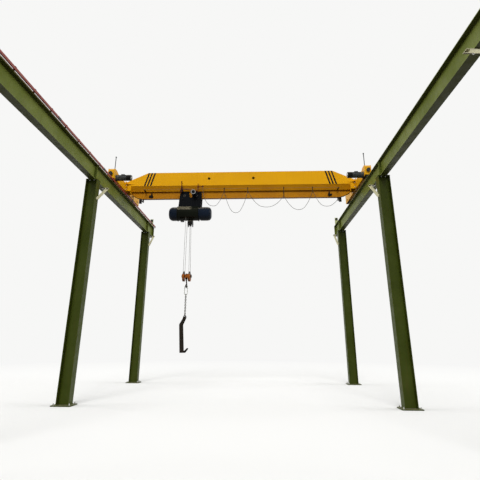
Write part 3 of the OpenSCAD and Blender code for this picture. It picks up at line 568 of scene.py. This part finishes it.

# %% [markdown]
# Each coat is one call of the recipe. The columns are olive, the beams a lighter olive
# with more painted shade on their faces that look down, the braces cream and the end stops
# pale green. The hoist's shell and covers are so dark that a full sheen would veil them, so
# theirs is low. The hook block is orange and much worn, since it is what gets knocked.

# %% Paints of the crane
finishes = {
    "green_paint": enamel("olive_enamel", "#353f0b", "#424c17", gloss=0.46),
    "green_beam_paint": enamel("light_olive_enamel", "#5f6a24", "#788241", gloss=0.46, underside_shade=0.65),
    "pale_green_paint": enamel("pale_green_enamel", "#9fa874", "#b4b98f"),
    "cream_paint": enamel("cream_enamel", "#cbc9ad", "#b9b596"),
    "yellow_paint": enamel("yellow_enamel", "#dca006", "#d2980d", gloss=0.36, wear=0.35,
                           runs=0.12),
    # The navy covers are made paler on their upward faces than the other paints.
    "navy_paint": enamel("navy_enamel", "#07101b", "#0d192a", "#2b2b28", gloss=0.22,
                         sheen=0.08, dust=0.6),
    # The drum shell turns paler on its upper part, over its left two thirds.
    "dark_green_paint": enamel("bottle_green_enamel_pale_on_top", "#080a05", "#10130b", "#24231b",
                               sheen=0.06, marks=pale_shell_top),
    "black_paint": enamel("black_enamel", "#0f0f0e", "#1b1a18", "#38342e", sheen=0.08),
    "grey_paint": enamel("machine_grey_enamel", "#45484a", "#585b5a", "#2a2724"),
    "dark_red_paint": enamel("red_oxide_primer", "#4d1811", "#5f2a1d", gloss=0.55),
    "orange_paint": enamel("orange_enamel", "#9f5614", "#8b4c17", "#33261c", wear=0.8),
}
print("enamels:", len(finishes))

# %% [markdown]
# Bare steel is told apart by how it was made. Rolled rail is brown with rust on its
# sides and bright on its head, where the wheels run. Cast and turned wheels are dark and
# even. Zinc gives the master link and the bolts a pale, spangled skin. Rope wire is
# greased, so it is duller. Forge scale leaves the hooks nearly black, with rust
# where it has flaked.

# %% Bare and plated metals
# Real pits and flakes of scale are under 1 mm wide, so they are drawn coarser to show.
RUST_PIT = 4 * MM


def rolled_steel(name):
    """Hot rolled rail: rust on its sides, and a head that the wheels keep bright."""
    made, tree, spot = new_material(name)
    rust = add(tree, "Mix", {0: mottle(tree, spot, 50 * MM), 6: colour("#5b4331"),
                             7: colour("#7a6450")}, data_type="RGBA")
    level = add(tree, "SeparateXYZ", {0: spot}).outputs[2]
    crown = add(tree, "MapRange", {"Value": level, "From Min": RAIL_TOP - 4 * MM,
                                   "From Max": RAIL_TOP - 1 * MM})
    steel = add(tree, "Mix", {0: crown, 6: rust, 7: colour("#b7b3ab")}, data_type="RGBA")
    rough = add(tree, "MapRange", {"Value": crown, "To Min": 0.72, "To Max": 0.24})
    bare = add(tree, "MapRange", {"Value": crown, "To Min": 0.35, "To Max": 1.0})
    shader = add(tree, "BsdfPrincipled", {
        "Base Color": steel, "Roughness": rough, "Metallic": bare,
        "Normal": grain(tree, spot, RUST_PIT, 0.4 * MM)})
    add(tree, "OutputMaterial", {"Surface": shader})
    return made


def metal(name, light, dark, patch, rough, metallic, relief):
    """A metal whose skin clouds between two colours, in patches of the given size."""
    made, tree, spot = new_material(name)
    skin = add(tree, "Mix", {0: mottle(tree, spot, patch), 6: colour(light), 7: colour(dark)},
               data_type="RGBA")
    shine = add(tree, "MapRange", {"Value": mottle(tree, spot, patch / 4),
                                   "To Min": rough - 0.08, "To Max": rough + 0.12})
    shader = add(tree, "BsdfPrincipled", {
        "Base Color": skin, "Roughness": shine, "Metallic": metallic,
        "Normal": grain(tree, spot, RUST_PIT, relief)})
    add(tree, "OutputMaterial", {"Surface": shader})
    return made


finishes["rail_steel"] = rolled_steel("rolled_rail_steel")
for slot, name, light, dark, patch, rough, metallic, relief in (
        ("wheel_steel", "turned_cast_steel", "#55504a", "#3a352f", 60, 0.45, 0.80, 0.2),
        ("bright_steel", "zinc_plated_steel", "#cfcfca", "#a7a8a3", 12, 0.34, 1.00, 0.2),
        ("rope_steel", "greased_rope_wire", "#85847d", "#524f49", 30, 0.46, 0.90, 0.2),
        ("black_iron", "forge_scale", "#1a1814", "#2a221a", 50, 0.55, 0.85, 0.6)):
    finishes[slot] = metal(name, light, dark, patch * MM, rough, metallic, relief * MM)
print("finishes with metals:", len(finishes))

# %% [markdown]
# Rubber and plastic don't conduct, so they have no metallic part and differ in their
# colour, their dull skin and the dust on them. The cable sheath is extruded rubber, the
# pads are moulded, and the bar's red cover is rigid vinyl that has paled on top.
# The pits are a few tenths of a millimetre wide on the real ones; they are drawn 2 to
# 6 mm wide here, or they wouldn't show at all.

# %% Rubber and plastics
POLYMER_DUST = 0.4


def polymer(name, fresh, faded, rough, pit, relief):
    """A moulded or extruded polymer: two close colours, fine pits and settled dust."""
    made, tree, spot = new_material(name)
    skin = add(tree, "Mix", {0: mottle(tree, spot, 200 * MM), 6: colour(fresh),
                             7: colour(faded)}, data_type="RGBA")
    cover = add(tree, "Math", {0: settled_dust(tree, spot, 0.3, 50 * MM), 1: POLYMER_DUST},
                operation="MULTIPLY")
    skin = add(tree, "Mix", {0: cover, 6: skin, 7: colour(DUST)}, data_type="RGBA")
    shader = add(tree, "BsdfPrincipled", {
        "Base Color": skin, "Roughness": rough, "Normal": grain(tree, spot, pit, relief)})
    add(tree, "OutputMaterial", {"Surface": shader})
    return made


for slot, name, fresh, faded, rough, pit, relief in (
        ("rubber", "moulded_rubber", "#171716", "#242321", 0.72, 3, 0.4),
        ("cable_sheath", "extruded_rubber_sheath", "#34322f", "#4b4843", 0.62, 2, 0.2),
        ("red_plastic", "red_rigid_vinyl", "#84251b", "#93402f", 0.42, 6, 0.2),
        ("black_plastic", "black_nylon", "#1a1918", "#2a2826", 0.50, 4, 0.2)):
    finishes[slot] = polymer(name, fresh, faded, rough, pit * MM, relief * MM)
print("finishes in all:", len(finishes))

# %% [markdown]
# Every piece of the frame already names its slot, so the finishes go on by name. The
# girder differs: its box carries the black bands, and its skirts and track, which face
# down and collect oil, have a browner, older coat. The trolley's plates are a darker
# blue than the hoist's covers. The cable carriers rub along their wire under the girder,
# and yellow dust has turned their black paint brown.

# %% Finishes on the frame
own_finish = {
    "girder_box": enamel("banded_yellow_enamel", "#e0a303", "#d89c06", gloss=0.36, wear=0.3,
                         runs=0.12, marks=girder_marks),
    "girder_skirts": enamel("oiled_yellow_enamel", "#df9b0c", "#cf8a0c", gloss=0.40, runs=0.4),
    "girder_track": enamel("worn_yellow_enamel", "#b97d0d", "#a76b0d", gloss=0.44, wear=0.9),
    "trolley_plates": enamel("blue_black_enamel", "#05070a", "#0b0d12", "#2b2b28", gloss=0.25,
                             dust=0.25, sheen=0.06),
}
dusty = enamel("dusty_black_enamel", "#3d2c14", "#5c4118", "#6a4a1c", dust=0.6, wear=0.8)
for number in range(1, 5):
    own_finish[f"cable_carrier_{number}"] = dusty
slots = {part["node"]: part["material_slot"] for part in frame["record"]["subparts"]}
for node, piece in frame["nodes"].items():
    coat = own_finish.get(node, finishes[slots[node]])
    if piece.data.materials:
        for place in piece.material_slots:
            place.material = coat
    else:
        piece.data.materials.append(coat)
for piece in cable_loops:
    piece.data.materials.append(finishes["cable_sheath"])
for piece in rope_falls:
    piece.data.materials.append(finishes["rope_steel"])
print("nodes finished:", len(frame["nodes"]))

# %% [markdown]
# Nuts, studs, screw heads and washers are turned parts, or nearly: a profile of radius
# and height pairs carried round an axis, with six sides for a nut and many for a washer.
# Blender's screw modifier turns a profile too; here a few lines make plain points and
# faces, which can be joined and copied before any object is made.

# %% Turned shapes
def turned(profile, sides):
    """Points and faces of a profile of (radius, height) pairs turned about Z."""
    verts = [Vector((x * r, y * r, z)) for r, z in profile for x, y in ring(1.0, sides)]
    faces = []
    for k in range(len(profile) - 1):
        for i in range(sides):
            j = (i + 1) % sides
            m = k * sides
            faces.append((m + i, m + j, m + sides + j, m + sides + i))
    faces.append(tuple(range(sides))[::-1])
    faces.append(tuple(range(len(verts) - sides, len(verts))))
    return verts, faces


def together(*shapes):
    """One shape out of several."""
    verts, faces = [], []
    for points, sides in shapes:
        faces += [tuple(len(verts) + i for i in side) for side in sides]
        verts += points
    return verts, faces


def nut(d, thread=0.6):
    """A nut on a washer with the end of its bolt, for a bolt of diameter d."""
    flat, tall, disc = 0.92 * d, 0.85 * d, 0.16 * d
    washer = turned([(1.15 * d, 0), (1.15 * d, disc)], 20)
    body = turned([(flat * 0.94, disc), (flat, disc + 0.08 * d), (flat, disc + tall * 0.9),
                   (flat * 0.88, disc + tall)], 6)
    end = disc + tall + thread * d
    stud = turned([(d / 2, disc + tall * 0.9), (d / 2, end - 0.1 * d), (d * 0.38, end)], 14)
    return together(washer, body, stud)


def cap_screw(d, round_sides=16, socket_sides=6):
    """A round screw head with its hexagon socket, for a thread of diameter d."""
    verts, faces = turned([(0.78 * d, 0), (0.78 * d, 0.85 * d), (0.70 * d, d), (0.5 * d, d)],
                          round_sides)
    faces.pop()
    mouth, rim = len(verts), len(verts) - round_sides
    floor_at = mouth + socket_sides
    verts += [Vector((x, y, z)) for z in (d, 0.45 * d) for x, y in ring(0.46 * d, socket_sides)]
    faces += [(mouth + i, mouth + (i + 1) % socket_sides, floor_at + (i + 1) % socket_sides,
               floor_at + i) for i in range(socket_sides)]
    faces.append(tuple(range(floor_at, floor_at + socket_sides)))
    for i in range(round_sides):
        here = i * socket_sides // round_sides
        ahead = (i + 1) * socket_sides // round_sides
        outer = (rim + i, rim + (i + 1) % round_sides)
        if ahead == here:
            faces.append(outer + (mouth + here,))
        else:
            faces.append(outer + (mouth + ahead % socket_sides, mouth + here))
    return verts, faces


print("points in a nut:", len(nut(0.02)[0]), "in a cap screw:", len(cap_screw(0.01)[0]))

# %% [markdown]
# Bolts hold the steelwork together: anchor bolts at the column feet, bolts through the
# beam flanges and cap plates, through the shoes of the knee braces and at the end stops.
# One bolt is made once and copied to each place and direction. All bolts of one body
# that share a finish are one mesh, which keeps the scene light.

# %% Bolts of the runway
def dress(piece, body, slot):
    """Give a new piece the finish of its slot, and the body that it rides on."""
    piece.data.materials.append(finishes[slot])
    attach(piece, body)


def copies(name, shape, places, body, slot):
    """One mesh with the shape at each (point, direction), riding on a body."""
    verts, faces = [], []
    for point, direction in places:
        spin = Vector(direction).to_track_quat("Z", "Y").to_matrix()
        base = len(verts)
        verts += [Vector(point) + spin @ v for v in shape[0]]
        faces += [tuple(base + i for i in side) for side in shape[1]]
    made = link(name, verts, faces)
    made.data.set_sharp_from_angle(angle=math.radians(32))
    dress(made, body, slot)


FOOT_T, CAP_T, FLANGE_T, SHOE_T = 0.025, 0.020, 0.016, 0.012
ANCHOR_X, ANCHOR_Y = 0.210, 0.165
BEAM_BOLT_X, BEAM_BOLT_Y = 0.062, 0.075
SHOE_Y, SHOE_BOLT_Y = 0.680, 0.042
STOP_Y, STOP_BOLT, STOP_FOOT_T = 6.900, 0.070, 0.016
anchors = [((side * RAIL_X + sx * ANCHOR_X, row + sy * ANCHOR_Y, FOOT_T), UP)
           for side in BOTH for row in COLUMN_ROWS for sx in BOTH for sy in BOTH]
copies("anchor_nuts", nut(0.024, 1.0), anchors, "runway", "bright_steel")

seats = []
for side in BOTH:
    for row in COLUMN_ROWS:
        for sx in BOTH:
            for sy in BOTH:
                x, y = side * RAIL_X + sx * BEAM_BOLT_X, row + sy * BEAM_BOLT_Y
                seats += [((x, y, BEAM_LOW + FLANGE_T), UP), ((x, y, BEAM_LOW - CAP_T), DOWN)]
        x, shoe_y = side * (RAIL_X - BEAM_BOLT_X), row + SHOE_Y
        for y in (shoe_y - SHOE_BOLT_Y, shoe_y + SHOE_BOLT_Y):
            seats += [((x, y, BEAM_LOW + FLANGE_T), UP), ((x, y, BEAM_LOW - SHOE_T), DOWN)]
    for end in BOTH:
        seats += [((side * RAIL_X + sx * STOP_BOLT, end * (STOP_Y + sy * STOP_BOLT),
                    BEAM_TOP + STOP_FOOT_T), UP) for sx in BOTH for sy in BOTH]
copies("beam_bolts", nut(0.018, 0.4), seats, "runway", "bright_steel")
print("bolts on the runway:", len(anchors) + len(seats))

# %% [markdown]
# The girder is bolted to each end carriage through an end plate, with four bolts. Each
# travel gearbox is closed by a ring of eight cap screws. Both are placed from the frame's
# boxes, so they stay on their plates when the bridge gets another span.

# %% Bolts of the bridge
face_x = high("girder_end_joints").x
END_PLATE_T, JOINT_Y, JOINT_LEVELS = 0.020, 0.270, (7.015, 7.165)
joints = [((side * (face_x - END_PLATE_T), BRIDGE_Y + sy * JOINT_Y, z), (-side, 0, 0))
          for side in BOTH for sy in BOTH for z in JOINT_LEVELS]
copies("end_plate_bolts", nut(0.022, 0.5), joints, "bridge", "bright_steel")

drive_y, drive_z = middle("travel_gearboxes").y, middle("travel_gearboxes").z
drive_face = high("travel_gearboxes").x - 0.024
SCREWS, SCREW_CIRCLE = 8, 0.105
screws = []
for side in BOTH:
    for i in range(SCREWS):
        angle = math.radians((i + 0.5) * 360 / SCREWS)
        y, z = (SCREW_CIRCLE * f(angle) for f in (math.sin, math.cos))
        screws.append(((side * drive_face, drive_y + y, drive_z + z), (-side, 0, 0)))
copies("gearbox_screws", cap_screw(0.010), screws, "bridge", "black_iron")
print("bolts and screws on the bridge:", len(joints + screws))

# %% [markdown]
# The rails lie loose on the beams and are held by clips, so that they can be straightened
# later. Each clip is a forged wedge with a nose over the rail foot and one bolt. Clips sit
# in pairs every 750 mm. The bar's hangers have one bolt each, between the clips.

# %% Rail clips
CLIP_STEP, CLIP_PAIRS = 0.75, 18
CLIP_LONG = 0.050
CLIP_BOLT_X, CLIP_BOLT_Z = 0.064, 0.0185
NOSE = [(0.046, 0.0), (0.088, 0.0), (0.088, 0.010), (0.078, 0.016), (0.056, 0.021),
        (0.036, 0.021), (0.034, 0.017), (0.034, 0.0105), (0.046, 0.0084)]


def clip(side):
    """A clip drawn in X and Z and drawn out along the rail, for one side of it."""
    verts = [Vector((side * x, end * CLIP_LONG / 2, z)) for end in BOTH for x, z in NOSE]
    count = len(NOSE)
    faces = [(i, (i + 1) % count, count + (i + 1) % count, count + i) for i in range(count)]
    faces += [tuple(range(count))[::-1], tuple(range(count, 2 * count))]
    return verts, faces if side < 0 else [face[::-1] for face in faces]


half = CLIP_PAIRS // 2
rows = [(k + 0.5) * CLIP_STEP for k in range(-half, half)]
verts, faces, clip_bolts = [], [], []
for rail in BOTH:
    for y in rows:
        for side in BOTH:
            shift = Vector((rail * RAIL_X, y, BEAM_TOP))
            more, sides = clip(side)
            faces += [tuple(len(verts) + i for i in face) for face in sides]
            verts += [shift + v for v in more]
            clip_bolts.append((shift + Vector((side * CLIP_BOLT_X, 0, CLIP_BOLT_Z)), UP))
dress(link("rail_clips", verts, faces, smooth=False), "runway", "wheel_steel")
copies("clip_bolts", nut(0.014, 0.5), clip_bolts, "runway", "bright_steel")
bar_x = middle("conductor_bar").x
HANGER_BOLT_X, HANGER_T = 0.068, 0.006
hanger_bolts = [((bar_x - HANGER_BOLT_X, i * CLIP_STEP, BEAM_TOP + HANGER_T), UP)
                for i in range(-half, half + 1)]
copies("hanger_bolts", nut(0.010, 0.5), hanger_bolts, "runway", "bright_steel")
print("rail clips:", len(clip_bolts))

# %% [markdown]
# The hoist is bolted up from castings. Its two covers are held to the drum shell by a
# ring of screws that leaves out the flat deck on top. The trolley's side plates carry the
# nuts of the tie rods and the keeper washers of the wheel axles.

# %% Hoist fasteners
drum_y = middle("drum_shell").y
COVER_SCREWS, COVER_CIRCLE, DECK_LOW = 16, 0.2635, 0.210
ring_screws = []
for x, way in ((low("drum_shell").x, -1), (high("drum_shell").x, 1)):
    for i in range(COVER_SCREWS):
        angle = math.radians((i + 0.5) * 360 / COVER_SCREWS)
        y, z = COVER_CIRCLE * math.sin(angle), COVER_CIRCLE * math.cos(angle)
        if z < DECK_LOW:
            ring_screws.append(((x, drum_y + y, DRUM_Z + z), (way, 0, 0)))
copies("cover_screws", cap_screw(0.008), ring_screws, "hoist", "black_iron")

plate_faces = ((low("trolley_plates").y, -1), (high("trolley_plates").y, 1))
wheel = middle("trolley_wheels")
ROD_X, ROD_DROP, AXLE_X = 0.300, 0.060, 0.220
pins = [((wheel.x + sx * ROD_X, y, TRACK_LOW - ROD_DROP), (0, way, 0))
        for y, way in plate_faces for sx in BOTH]
copies("tie_rod_nuts", nut(0.026, 0.6), pins, "hoist", "black_paint")
keeper = together(turned([(0.024, 0.008), (0.024, 0.012), (0.021, 0.014)], 24),
                  turned([(0.011, 0.013), (0.012, 0.015), (0.012, 0.021), (0.010, 0.023)], 6))
axles = [((wheel.x + sx * AXLE_X, y, wheel.z), (0, way, 0))
         for y, way in plate_faces for sx in BOTH]
copies("axle_keepers", keeper, axles, "hoist", "black_iron")
print("hoist screws and nuts:", len(ring_screws + pins + axles))

# %% [markdown]
# The hoist's plates look plain without their machined parts. The wheel axles run in round
# bearing caps with four screws each, and the block's axle ends in two large nuts on hubs.
# The trolley motor ends in a bright cast fan rim, and guards of wire rings close its fan
# and those of both travel motors. The caps and hubs are turned profiles again; the rim
# and the wires of the guards are tubes along circles.

# %% Caps, rims and fan guards
def circle(centre, radius, normal_axis, steps=32):
    """Points of a closed circle, with the first point repeated at the end."""
    points = []
    for k in range(steps + 1):
        a, b = (radius * f(2 * math.pi * k / steps) for f in (math.cos, math.sin))
        points.append(Vector(centre) + (Vector((0, a, b)) if normal_axis == "X"
                                        else Vector((a, 0, b))))
    return points


def shifted(shape, shift):
    """A shape moved by a vector."""
    return [v + shift for v in shape[0]], shape[1]


CAP_CIRCLE, CAP_SCREW_SEAT = 0.042, 0.009
cap = turned([(0.050, 0), (0.050, 0.006), (0.044, 0.011), (0.036, 0.011), (0.034, 0.008)], 32)
cap_screws = [shifted(cap_screw(0.005), Vector((x, y, CAP_SCREW_SEAT)))
              for x, y in ring(CAP_CIRCLE, 4)]
bearing = together(cap, *cap_screws)
copies("bearing_caps", bearing, axles, "hoist", "wheel_steel")
hub = turned([(0.070, 0), (0.070, 0.010), (0.062, 0.016), (0.044, 0.018), (0.044, 0.026),
              (0.020, 0.030)], 28)
HUB_GAP = 1 * MM
axle_ends = [((low("block_frame").x - HUB_GAP, BLOCK.y, BLOCK.z), (-1, 0, 0)),
             ((high("block_frame").x + HUB_GAP, BLOCK.y, BLOCK.z), (1, 0, 0))]
copies("block_axle_nuts", together(hub, nut(0.030, 0.1)), axle_ends, "hook_block", "wheel_steel")

motor = middle("trolley_motor")
front = Vector((motor.x, low("trolley_motor").y, motor.z))
RIM_RADIUS, RIM_THICK, WIRE = 0.079, 0.018, 0.006
GRID_RINGS, GRID_ARM = (0.018, 0.034, 0.050, 0.064), 0.072
rim = tubes("trolley_fan_rim", [circle(front, RIM_RADIUS, "Y", 48)], ring(RIM_THICK / 2, 12))
dress(rim, "hoist", "bright_steel")
grid_wires = [circle(front, radius, "Y") for radius in GRID_RINGS]
for arm in (Vector((GRID_ARM, 0, 0)), Vector((0, 0, GRID_ARM))):
    grid_wires.append([front - arm, front + arm])
dress(tubes("trolley_fan_guard", grid_wires, ring(WIRE / 2, 6)), "hoist", "black_paint")

FAN_X, FAN_RINGS, FAN_ARM, FAN_ARMS = 3.747, (0.026, 0.046, 0.066, 0.086), 0.088, 4
THIN_WIRE = 0.005
wires = []
for side in BOTH:
    hub_at = Vector((side * FAN_X, drive_y, drive_z))
    wires += [circle(hub_at, radius, "X") for radius in FAN_RINGS]
    for i in range(FAN_ARMS):
        angle = math.radians((i + 0.5) * 180 / FAN_ARMS)
        arm = Vector((0, math.cos(angle), math.sin(angle))) * FAN_ARM
        wires.append([hub_at - arm, hub_at + arm])
dress(tubes("fan_guards", wires, ring(THIN_WIRE / 2, 6)), "bridge", "bright_steel")

LID_IN, LID_X, LID_Y, LID_TOP = 0.235, 0.050, 0.036, 0.126
lids = [((side * (face_x - LID_IN) + sx * LID_X, drive_y + sy * LID_Y, drive_z + LID_TOP), UP)
        for side in BOTH for sx in BOTH for sy in BOTH]
copies("terminal_box_screws", cap_screw(0.005), lids, "bridge", "bright_steel")
print("caps and guards:", len(axles), "bearings,", len(wires), "guard wires")

# %% [markdown]
# Two small black plates belong to the hoist. A gusset of 8 mm plate stiffens the left
# towing post, which stands on a foot bent from flat bar. A guard of 4 mm plate between
# the cheeks of the upper sheave keeps a slack rope in its groove. A flame-cut plate is an
# outline drawn out to its thickness. Its edges are ground off a little, so each side has
# a slightly smaller outline in front of the full one.

# %% Gusset and rope guard
def flame_cut(outline, thick, grind):
    """A plate drawn in X and Z and drawn out along Y, with its edges ground off."""
    inner = Vector((sum(x for x, z in outline), 0, sum(z for x, z in outline))) / len(outline)
    count = len(outline)
    verts, faces = [], []
    for deep, shrink in ((0, grind), (grind, 0), (thick - grind, 0), (thick, grind)):
        for x, z in outline:
            corner = Vector((x, 0, z))
            corner += (inner - corner).normalized() * shrink
            verts.append(corner + Vector((0, deep, 0)))
    for k in range(3):
        for i in range(count):
            j = (i + 1) % count
            m = k * count
            faces.append((m + i, m + count + i, m + count + j, m + j))
    return verts, faces + [tuple(range(count)), tuple(range(3 * count, 4 * count))[::-1]]


GUSSET_T, GUARD_T = 8 * MM, 4 * MM
GUSSET = [(-0.045, 0.0102), (0.085, 0.0102), (0.080, 0.060), (0.062, 0.150),
          (0.045, 0.232), (0.005, 0.232), (-0.020, 0.120)]
GUARD = [(-0.050, -0.100), (0.050, -0.100), (0.073, -0.065), (0.073, 0.022),
         (-0.073, 0.022), (-0.073, -0.065)]
POST_OUT, POST_WIDE, POST_T, POST_BOLTS = 0.113, 0.026, 0.010, (0.065, 0.185)
ROPE_CLEAR, GUARD_SCREW_X, GUARD_SCREW_RISE = 0.0055, 0.060, 0.008
post = low("towing_arms")
post_back = low("trolley_plates").y - POST_OUT
guard_front = low("upper_rope_wrap").y - ROPE_CLEAR - GUARD_T
for name, outline, thick, place in (
        ("towing_gusset", GUSSET, GUSSET_T, Vector((post.x, post_back, post.z))),
        ("rope_guard", GUARD, GUARD_T, Vector((UPPER_X, guard_front, UPPER_Z)))):
    verts, faces = flame_cut(outline, thick, thick / 5)
    dress(link(name, [place + v for v in verts], faces, smooth=False), "hoist", "black_paint")
post_bolts = [((post.x + POST_WIDE / 2, post_back - POST_T, post.z + z), (0, -1, 0))
              for z in POST_BOLTS]
copies("towing_post_bolts", nut(0.010, 0.4), post_bolts, "hoist", "black_paint")
guard_screws = [((UPPER_X + side * GUARD_SCREW_X, guard_front, UPPER_Z + GUARD_SCREW_RISE),
                 (0, -1, 0)) for side in BOTH]
copies("rope_guard_screws", cap_screw(0.006), guard_screws, "hoist", "black_iron")
print("plate corners:", len(GUSSET) + len(GUARD))

# %% [markdown]
# Plate work is welded, and the bead is what tells a welded girder from a cast one. A bead
# is a thin tube pressed into the corner between two plates, so only its outer half shows.
# It wears the paint of its plates. The columns are welded to their feet and their caps,
# the skirts to the box and to the track beam, and the box to its end plates.

# %% Weld beads
WEB_HALF, SKIRT_OUT, STEM_HALF = 0.2005, 0.012, 0.006  # where the seams lie across
END_SLOPE, STEM_FOOT, FACE_IN, END_SEAM = 0.420, 0.015, 0.021, 0.165
GIRDER_BEAD, COLUMN_BEAD = 9 * MM, 10 * MM
seam_x = high("girder_skirts").x
ends = [Vector((-seam_x, 0, 0)), Vector((seam_x, 0, 0))]
track_half = high("girder_track").y - BRIDGE_Y
SKIRT_FOOT = high("girder_track").z - 0.014
seams = []
for side in BOTH:
    for off, z in ((WEB_HALF, BOX_LOW), (track_half + SKIRT_OUT, SKIRT_FOOT)):
        seams.append([end + Vector((0, BRIDGE_Y + side * off, z)) for end in ends])
    stem_end = seam_x - END_SLOPE
    seams.append([Vector((way * stem_end, BRIDGE_Y + side * STEM_HALF, TRACK_LOW + STEM_FOOT))
                  for way in BOTH])
    for end in BOTH:
        seams.append([Vector((end * (face_x - FACE_IN), BRIDGE_Y + side * WEB_HALF, z))
                      for z in (BOX_LOW, BOX_LOW + END_SEAM)])
dress(tubes("girder_welds", seams, ring(GIRDER_BEAD / 2, 8)), "bridge", "yellow_paint")

FLANGE_FACES = (-0.171, -0.155, 0.155, 0.171)  # both faces of both flanges of a column
FLANGE_SEAM = 0.125
feet = []
for side in BOTH:
    for row in COLUMN_ROWS:
        for z in (FOOT_T, BEAM_LOW - CAP_T):
            for x in FLANGE_FACES:
                feet.append([Vector((side * RAIL_X + x, row + way * FLANGE_SEAM, z))
                             for way in BOTH])
dress(tubes("column_welds", feet, ring(COLUMN_BEAD / 2, 8)), "runway", "green_paint")
print("weld seams:", len(seams) + len(feet))

# %% [markdown]
# The load hook is forged from a round bar: its section is round at the neck, a rounded
# wedge with its broad side inward in the bowl, and small and round at the tip. A plate
# with rounded corners would never look forged, so the section is drawn as an oval that
# changes as it goes round, from a list of stations. The shank above it is turned, with
# a collar, and a large nut holds it in the block's crosshead.

# %% Forged load hook
BOWL = Vector((middle("load_hook").x, BLOCK.y, BLOCK.z - 0.300))
SHANK_X = middle("sling_chain").x
BOWL_RADIUS, BACK_RADIUS, BACK_SHIFT = 0.054, 0.112, 0.008
SADDLE_RISE = 0.0062  # the seat of the link stands a little proud, below
BODY_HALF = 0.022
ANGLES = range(48, -151, -9)


def back_radius(angle):
    """Distance from the bowl's centre to the hook's back, thickest below and behind."""
    lean = BACK_SHIFT * math.cos(angle) - BACK_SHIFT * math.sin(angle)
    return lean + math.sqrt(lean ** 2 - 2 * BACK_SHIFT ** 2 + BACK_RADIUS ** 2)


# A station: its place from the bowl's centre (y, z), its angle, half depth and half width.
stations = [(0.000, 0.190, 0, 0.030, 0.027), (0.001, 0.165, 2, 0.031, 0.025),
            (0.006, 0.135, 10, 0.034, 0.023), (0.018, 0.108, 25, 0.035, 0.022),
            (0.034, 0.084, 37, 0.032, 0.022)]
for degrees in ANGLES:
    angle = math.radians(degrees)
    inner = BOWL_RADIUS - SADDLE_RISE * max(0.0, -math.sin(angle)) ** 4
    centre, half = (back_radius(angle) + inner) / 2, (back_radius(angle) - inner) / 2
    stations.append((centre * math.cos(angle), centre * math.sin(angle), degrees, half,
                     BODY_HALF))
tip = [(-160, 0.077, 0.024, 0.021), (-170, 0.073, 0.019, 0.018), (-179, 0.070, 0.014, 0.014),
       (-185, 0.069, 0.009, 0.010), (-188, 0.069, 0.004, 0.005)]
for degrees, centre, half, wide in tip:
    angle = math.radians(degrees)
    stations.append((centre * math.cos(angle), centre * math.sin(angle), degrees, half, wide))

OVAL = 20
FLATTEN = 0.8  # below 1, an oval turns a little square
verts, faces = [], []
for y, z, degrees, half, wide in stations:
    out = Vector((0, math.cos(math.radians(degrees)), math.sin(math.radians(degrees))))
    for k in range(OVAL):
        c, s = math.cos(2 * math.pi * k / OVAL), math.sin(2 * math.pi * k / OVAL)
        deep = math.copysign(abs(c) ** FLATTEN, c) * half
        broad = math.copysign(abs(s) ** FLATTEN, s) * wide * (0.88 - 0.12 * c)  # a wedge
        verts.append(Vector((SHANK_X + broad, BOWL.y + y, BOWL.z + z)) + out * deep)
for k in range(len(stations) - 1):
    for i in range(OVAL):
        j = (i + 1) % OVAL
        m = k * OVAL
        faces.append((m + i, m + j, m + OVAL + j, m + OVAL + i))
faces += [tuple(range(OVAL))[::-1], tuple(range(len(verts) - OVAL, len(verts)))]
shank = turned([(0.030, -0.112), (0.034, -0.108), (0.034, -0.060), (0.031, -0.056),
                (0.0248, -0.056), (0.0248, 0.088), (0.022, 0.090)], 32)
lock_nut = turned([(0.041, 0.056), (0.044, 0.059), (0.044, 0.081), (0.041, 0.084)], 8)
crosshead = Vector((SHANK_X, BLOCK.y, BLOCK.z))
top = [shifted(shape, crosshead) for shape in (shank, lock_nut)]
verts, faces = together((verts, faces), *top)
hook = link("forged_load_hook", verts, faces)
hook.data.set_sharp_from_angle(angle=math.radians(40))
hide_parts("load_hook")
dress(hook, "hook", "black_iron")
print("hook stations:", len(stations))

# %% [markdown]
# The conductor bar comes in lengths that meet under clip-on sleeves. They are moulded in
# black nylon, a little wider than the bar, and open below for the collector's shoe.

# %% Conductor joint sleeves
SLEEVE = [(-0.0165, 0.002), (-0.0165, 0.0655), (0.0165, 0.0655), (0.0165, 0.002),
          (0.0142, 0.002), (0.0142, 0.0632), (-0.0142, 0.0632), (-0.0142, 0.002)]
SLEEVE_HALF, FIRST_JOINT, BAR_LENGTH, JOINTS = 0.070, -5.625, 3.0, 5
LIPS = ((0, 1, 6, 7), (1, 2, 5, 6), (2, 3, 4, 5))  # each end is closed by three faces
bar_z = low("conductor_bar").z
verts, faces = [], []
for joint in range(JOINTS):
    y = FIRST_JOINT + joint * BAR_LENGTH
    base, count = len(verts), len(SLEEVE)
    verts += [Vector((bar_x + x, y + end * SLEEVE_HALF, bar_z + z)) for end in BOTH
              for x, z in SLEEVE]
    faces += [(base + i, base + (i + 1) % count, base + count + (i + 1) % count,
               base + count + i) for i in range(count)]
    for start in (base, base + count):
        faces += [tuple(start + i for i in four) for four in LIPS]
dress(link("bar_joint_sleeves", verts, faces, smooth=False), "runway", "black_plastic")
print("sleeves:", JOINTS)
